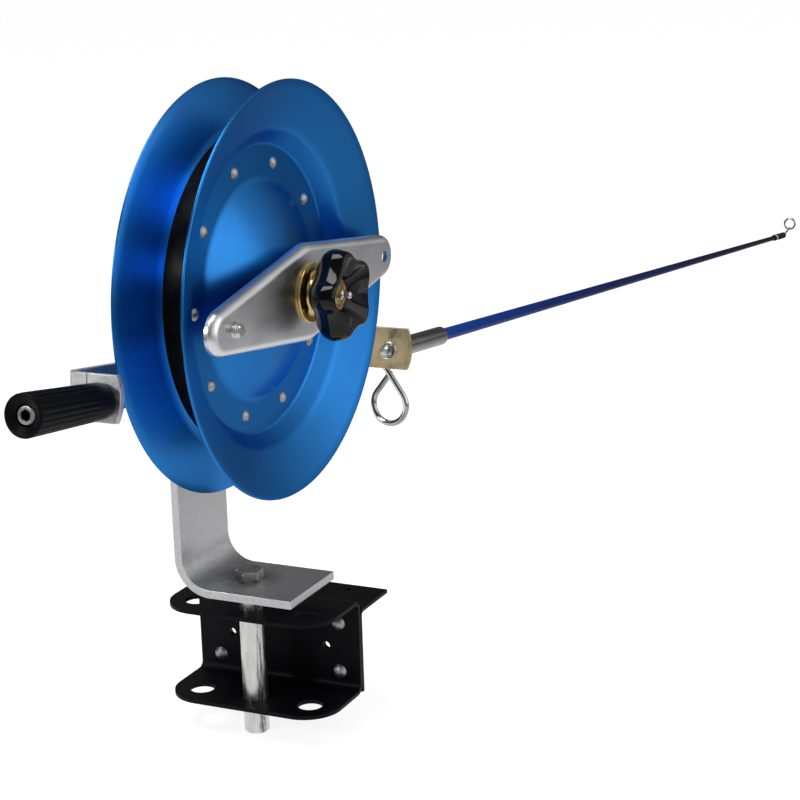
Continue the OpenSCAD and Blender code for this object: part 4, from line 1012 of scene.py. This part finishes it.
# Grease nipple: thread end, hexagon, waist and ball
NIPPLE = [
    (60.8, 0, "round"), (60.8, 2.8, "round"), (66.7, 2.8, "round"), (66.7, 3.4, "hex"),
    (69.2, 3.4, "crown"), (69.2, 3.3, "round"), (69.5, 2.6, "round"), (70.4, 1.9, "round"),
    (71.2, 1.6, "round"), (71.8, 1.75, "round"), (72.4, 2.3, "round"), (73.0, 2.8, "round"),
    (73.7, 3.0, "round"), (74.4, 2.9, "round"), (75.1, 2.4, "round"), (75.5, 1.7, "round"),
    (75.7, 0.7, "round"), (75.5, 0.5, "round"), (75.4, 0, "round"),
]
points, faces = loft(NIPPLE)
piece("nipple", points, faces, AXLE, chrome, "stand", ["grease_nipple"], 40.0)


# Whipping at the rod's tip, wound in close turns, with one pale band
WRAP_START, WRAP_END, WRAP_R, WRAP_CORE, TURN_W = 1233.0, 1287.0, 4.1, 3.1, 0.9
BAND = (1238.0, 1244.0)


def wound(start, end, radius, core):
    """Profile of close turns of thread, tapered where it starts and stops."""
    count = round((end - start) / TURN_W)
    profile = [(core, start)]
    for i in range(count):
        at = start + (end - start) * i / count
        lap = min(1.0, 0.45 + i * 0.3, 0.45 + (count - 1 - i) * 0.3)
        for share, rise in ((0.1, -0.16), (0.3, -0.03), (0.5, 0.0), (0.7, -0.03), (0.9, -0.16)):
            r = core + (radius - core) * lap + rise
            profile.append((max(core, r), at + share * (end - start) / count))
    return profile + [(core, end)]


for name, start, end, look in (
    ("whipping_inner", WRAP_START, BAND[0], wrap_black),
    ("whipping_band", *BAND, wrap_pale),
    ("whipping_outer", BAND[1], WRAP_END - 1.0, wrap_black),
):
    profile = wound(start, end, WRAP_R, WRAP_CORE)
    if name == "whipping_outer":
        profile += [(3.0, WRAP_END - 0.6), (2.1, WRAP_END - 0.1), (0.2, WRAP_END), (0.2, WRAP_END - 1.5)]
    points, faces = lathe(profile, 40)
    piece(name, points, faces, ROD @ ALONG_Y, look, "lever", ["tip_wrap"], 60.0)


# Weld that joins the line guide to the back of the bracket
def weld():
    route = guide_route()[:9]
    points = []
    sides, rows = 10, 40
    for i in range(rows + 1):
        t = i / rows * (len(route) - 1.001)
        p = route[int(t)].lerp(route[int(t) + 1], t % 1)
        along = (route[-1] - route[0]).normalized()
        side = along.cross(Vector((0, 1, 0))).normalized()
        middle = p + side * WIRE_R + Vector((0, -0.55 * WIRE_R, 0))
        ends = min(1.0, i / 4, (rows - i) / 4)
        r = (1.25 + 0.22 * math.sin(i * 1.35)) * max(0.05, ends)
        for k in range(sides):
            a = 2 * math.pi * k / sides
            points.append(middle + side * (r * math.cos(a)) + Vector((0, 1, 0)) * (r * math.sin(a)))
    faces = skinned(rows + 1, sides)
    faces += [list(range(sides)), [rows * sides + k for k in range(sides)]]
    return points, faces


points, faces = weld()
piece("guide_weld", points, faces, ROD, gold_strip, "lever", (), 60.0)


# Stage, light and camera
floor_mesh = bpy.data.meshes.new("floor")
EDGE, FLOOR_GAP = 30.0, 0.0005
FLOOR_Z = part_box("post")[0].z - FLOOR_GAP
corners = [(x * EDGE, y * EDGE, FLOOR_Z) for x, y in ((-1, -1), (1, -1), (1, 1), (-1, 1))]
floor_mesh.from_pydata(corners, [], [(0, 1, 2, 3)])
floor = bpy.data.objects.new("floor", floor_mesh)
bpy.context.scene.collection.objects.link(floor)


# What metal sees of the floor: bright spots in front and at the left, and grey by distance from the first
FRONT_SPOT, LEFT_SPOT = (-0.15, -0.35), (-1.25, -0.55)
FRONT_REACH = 3.0
FRONT_FALL = [
    (0.13, 0.90), (0.30, 0.72), (0.42, 0.44), (0.55, 0.32), (0.62, 0.28), (0.78, 0.22), (1.0, 0.16),
]
# What metal sees of the room, from its dim left to its bright right
ROOM_TOWARD = (0.99, 0.10, 0.10)
ROOM_STOPS = [
    (0.10, (0.06, 0.06, 0.065)), (0.45, (0.10, 0.10, 0.11)), (0.60, (0.09, 0.09, 0.095)),
    (0.80, (0.50, 0.50, 0.50)), (0.97, (1.0, 1.0, 1.0)),
]

def floor_look():
    """White to the camera with the object's shadow on it; a lit table that falls off to metal."""
    mat = bpy.data.materials.new("floor_pale")
    mat.use_nodes = True
    tree = mat.node_tree
    tree.nodes.clear()
    out = add(tree, "ShaderNodeOutputMaterial")
    path = add(tree, "ShaderNodeLightPath")
    table = add(tree, "ShaderNodeBsdfDiffuse")
    table.inputs["Color"].default_value = (0.75, 0.75, 0.75, 1)
    # Seen by the camera
    pale = add(tree, "ShaderNodeBsdfDiffuse")
    pale.inputs["Color"].default_value = (0.35, 0.35, 0.35, 1)
    glow = add(tree, "ShaderNodeEmission")
    glow.inputs["Strength"].default_value = 0.85
    seen = add(tree, "ShaderNodeAddShader")
    tree.links.new(pale.outputs[0], seen.inputs[0])
    tree.links.new(glow.outputs[0], seen.inputs[1])
    # Seen in metal
    place = add(tree, "ShaderNodeTexCoord")
    away = []
    for spot in (FRONT_SPOT, LEFT_SPOT):
        node = add(tree, "ShaderNodeVectorMath", operation="DISTANCE")
        tree.links.new(place.outputs["Object"], node.inputs[0])
        node.inputs[1].default_value = (*spot, FLOOR_Z)
        away.append(node.outputs["Value"])
    stops = [(at, (grey, grey, grey)) for at, grey in FRONT_FALL]
    fall = ramp(tree, remap(tree, away[0], 0.0, FRONT_REACH, 0.0, 1.0), stops)
    patch = remap(tree, away[1], 0.2, 1.0, 1.8, 0.0)
    shine = add(tree, "ShaderNodeEmission")
    tree.links.new(combined(tree, "ADD", fall, patch), shine.inputs["Strength"])
    first = blended(tree, path.outputs["Is Glossy Ray"], table.outputs[0], shine.outputs[0])
    clear = combined(tree, "MAXIMUM", path.outputs["Is Camera Ray"], path.outputs["Is Transmission Ray"])
    tree.links.new(blended(tree, clear, first, seen.outputs[0]), out.inputs["Surface"])
    return mat


floor_mesh.materials.append(floor_look())


def world_look():
    """White to the camera; in metal a room that is bright at the right and dim at the back."""
    world = bpy.data.worlds.new("studio")
    bpy.context.scene.world = world
    world.use_nodes = True
    tree = world.node_tree
    tree.nodes.clear()
    out = add(tree, "ShaderNodeOutputWorld")
    path = add(tree, "ShaderNodeLightPath")
    seen = combined(tree, "MAXIMUM", path.outputs["Is Camera Ray"], path.outputs["Is Transmission Ray"])
    white = add(tree, "ShaderNodeBackground")
    white.inputs["Color"].default_value = (1, 1, 1, 1)
    white.inputs["Strength"].default_value = 1.0
    soft = add(tree, "ShaderNodeBackground")
    soft.inputs["Color"].default_value = (1, 1, 1, 1)
    soft.inputs["Strength"].default_value = 0.40
    source = add(tree, "ShaderNodeTexCoord")
    toward = add(tree, "ShaderNodeVectorMath", operation="DOT_PRODUCT")
    tree.links.new(source.outputs["Generated"], toward.inputs[0])
    toward.inputs[1].default_value = ROOM_TOWARD
    room = add(tree, "ShaderNodeBackground")
    level = remap(tree, toward.outputs["Value"], -1.0, 1.0, 0.0, 1.0)
    tree.links.new(ramp(tree, level, ROOM_STOPS), room.inputs["Color"])
    shiny = blended(tree, path.outputs["Is Glossy Ray"], soft.outputs[0], room.outputs[0])
    tree.links.new(blended(tree, seen, shiny, white.outputs[0]), out.inputs["Surface"])


world_look()


def area(name, place, target, size, power):
    lamp = bpy.data.lights.new(name, "AREA")
    lamp.shape = "RECTANGLE"
    lamp.size, lamp.size_y = size
    lamp.energy = power
    thing = bpy.data.objects.new(name, lamp)
    thing.location = place
    thing.rotation_mode = "QUATERNION"
    thing.rotation_quaternion = (Vector(target) - Vector(place)).to_track_quat("-Z", "Y")
    bpy.context.scene.collection.objects.link(thing)


# Lamps: place and size in metres, power in watts
area("key", (-1.1, -2.1, 1.2), SPOOL, (0.45, 0.45), 14)
area("right", (1.95, 0.35, 0.75), SPOOL, (1.6, 1.8), 6.5)
area("top", (-0.35, -0.50, 2.1), SPOOL, (0.8, 1.5), 26)
area("rear", (-1.6, 1.5, 1.9), SPOOL, (1.2, 1.0), 3)

camera = bpy.data.cameras.new("camera")
camera.lens = 92.403
camera.sensor_width = 36.0
camera.clip_start, camera.clip_end = 0.05, 100.0
eye = bpy.data.objects.new("camera", camera)
# Fitted to the photo: the camera's right, up and back, and its place in metres
CAMERA_RIGHT = (0.9077, 0.4186, -0.0285)
CAMERA_UP = (-0.0817, 0.2429, 0.9666)
CAMERA_BACK = (0.4116, -0.8750, 0.2546)
CAMERA_PLACE = (0.7229, -1.3101, 0.5794)
rows = zip(CAMERA_RIGHT, CAMERA_UP, CAMERA_BACK, CAMERA_PLACE)
eye.matrix_world = Matrix((*rows, (0, 0, 0, 1)))
bpy.context.scene.collection.objects.link(eye)
bpy.context.scene.camera = eye
bpy.context.scene.view_settings.view_transform = "Standard"
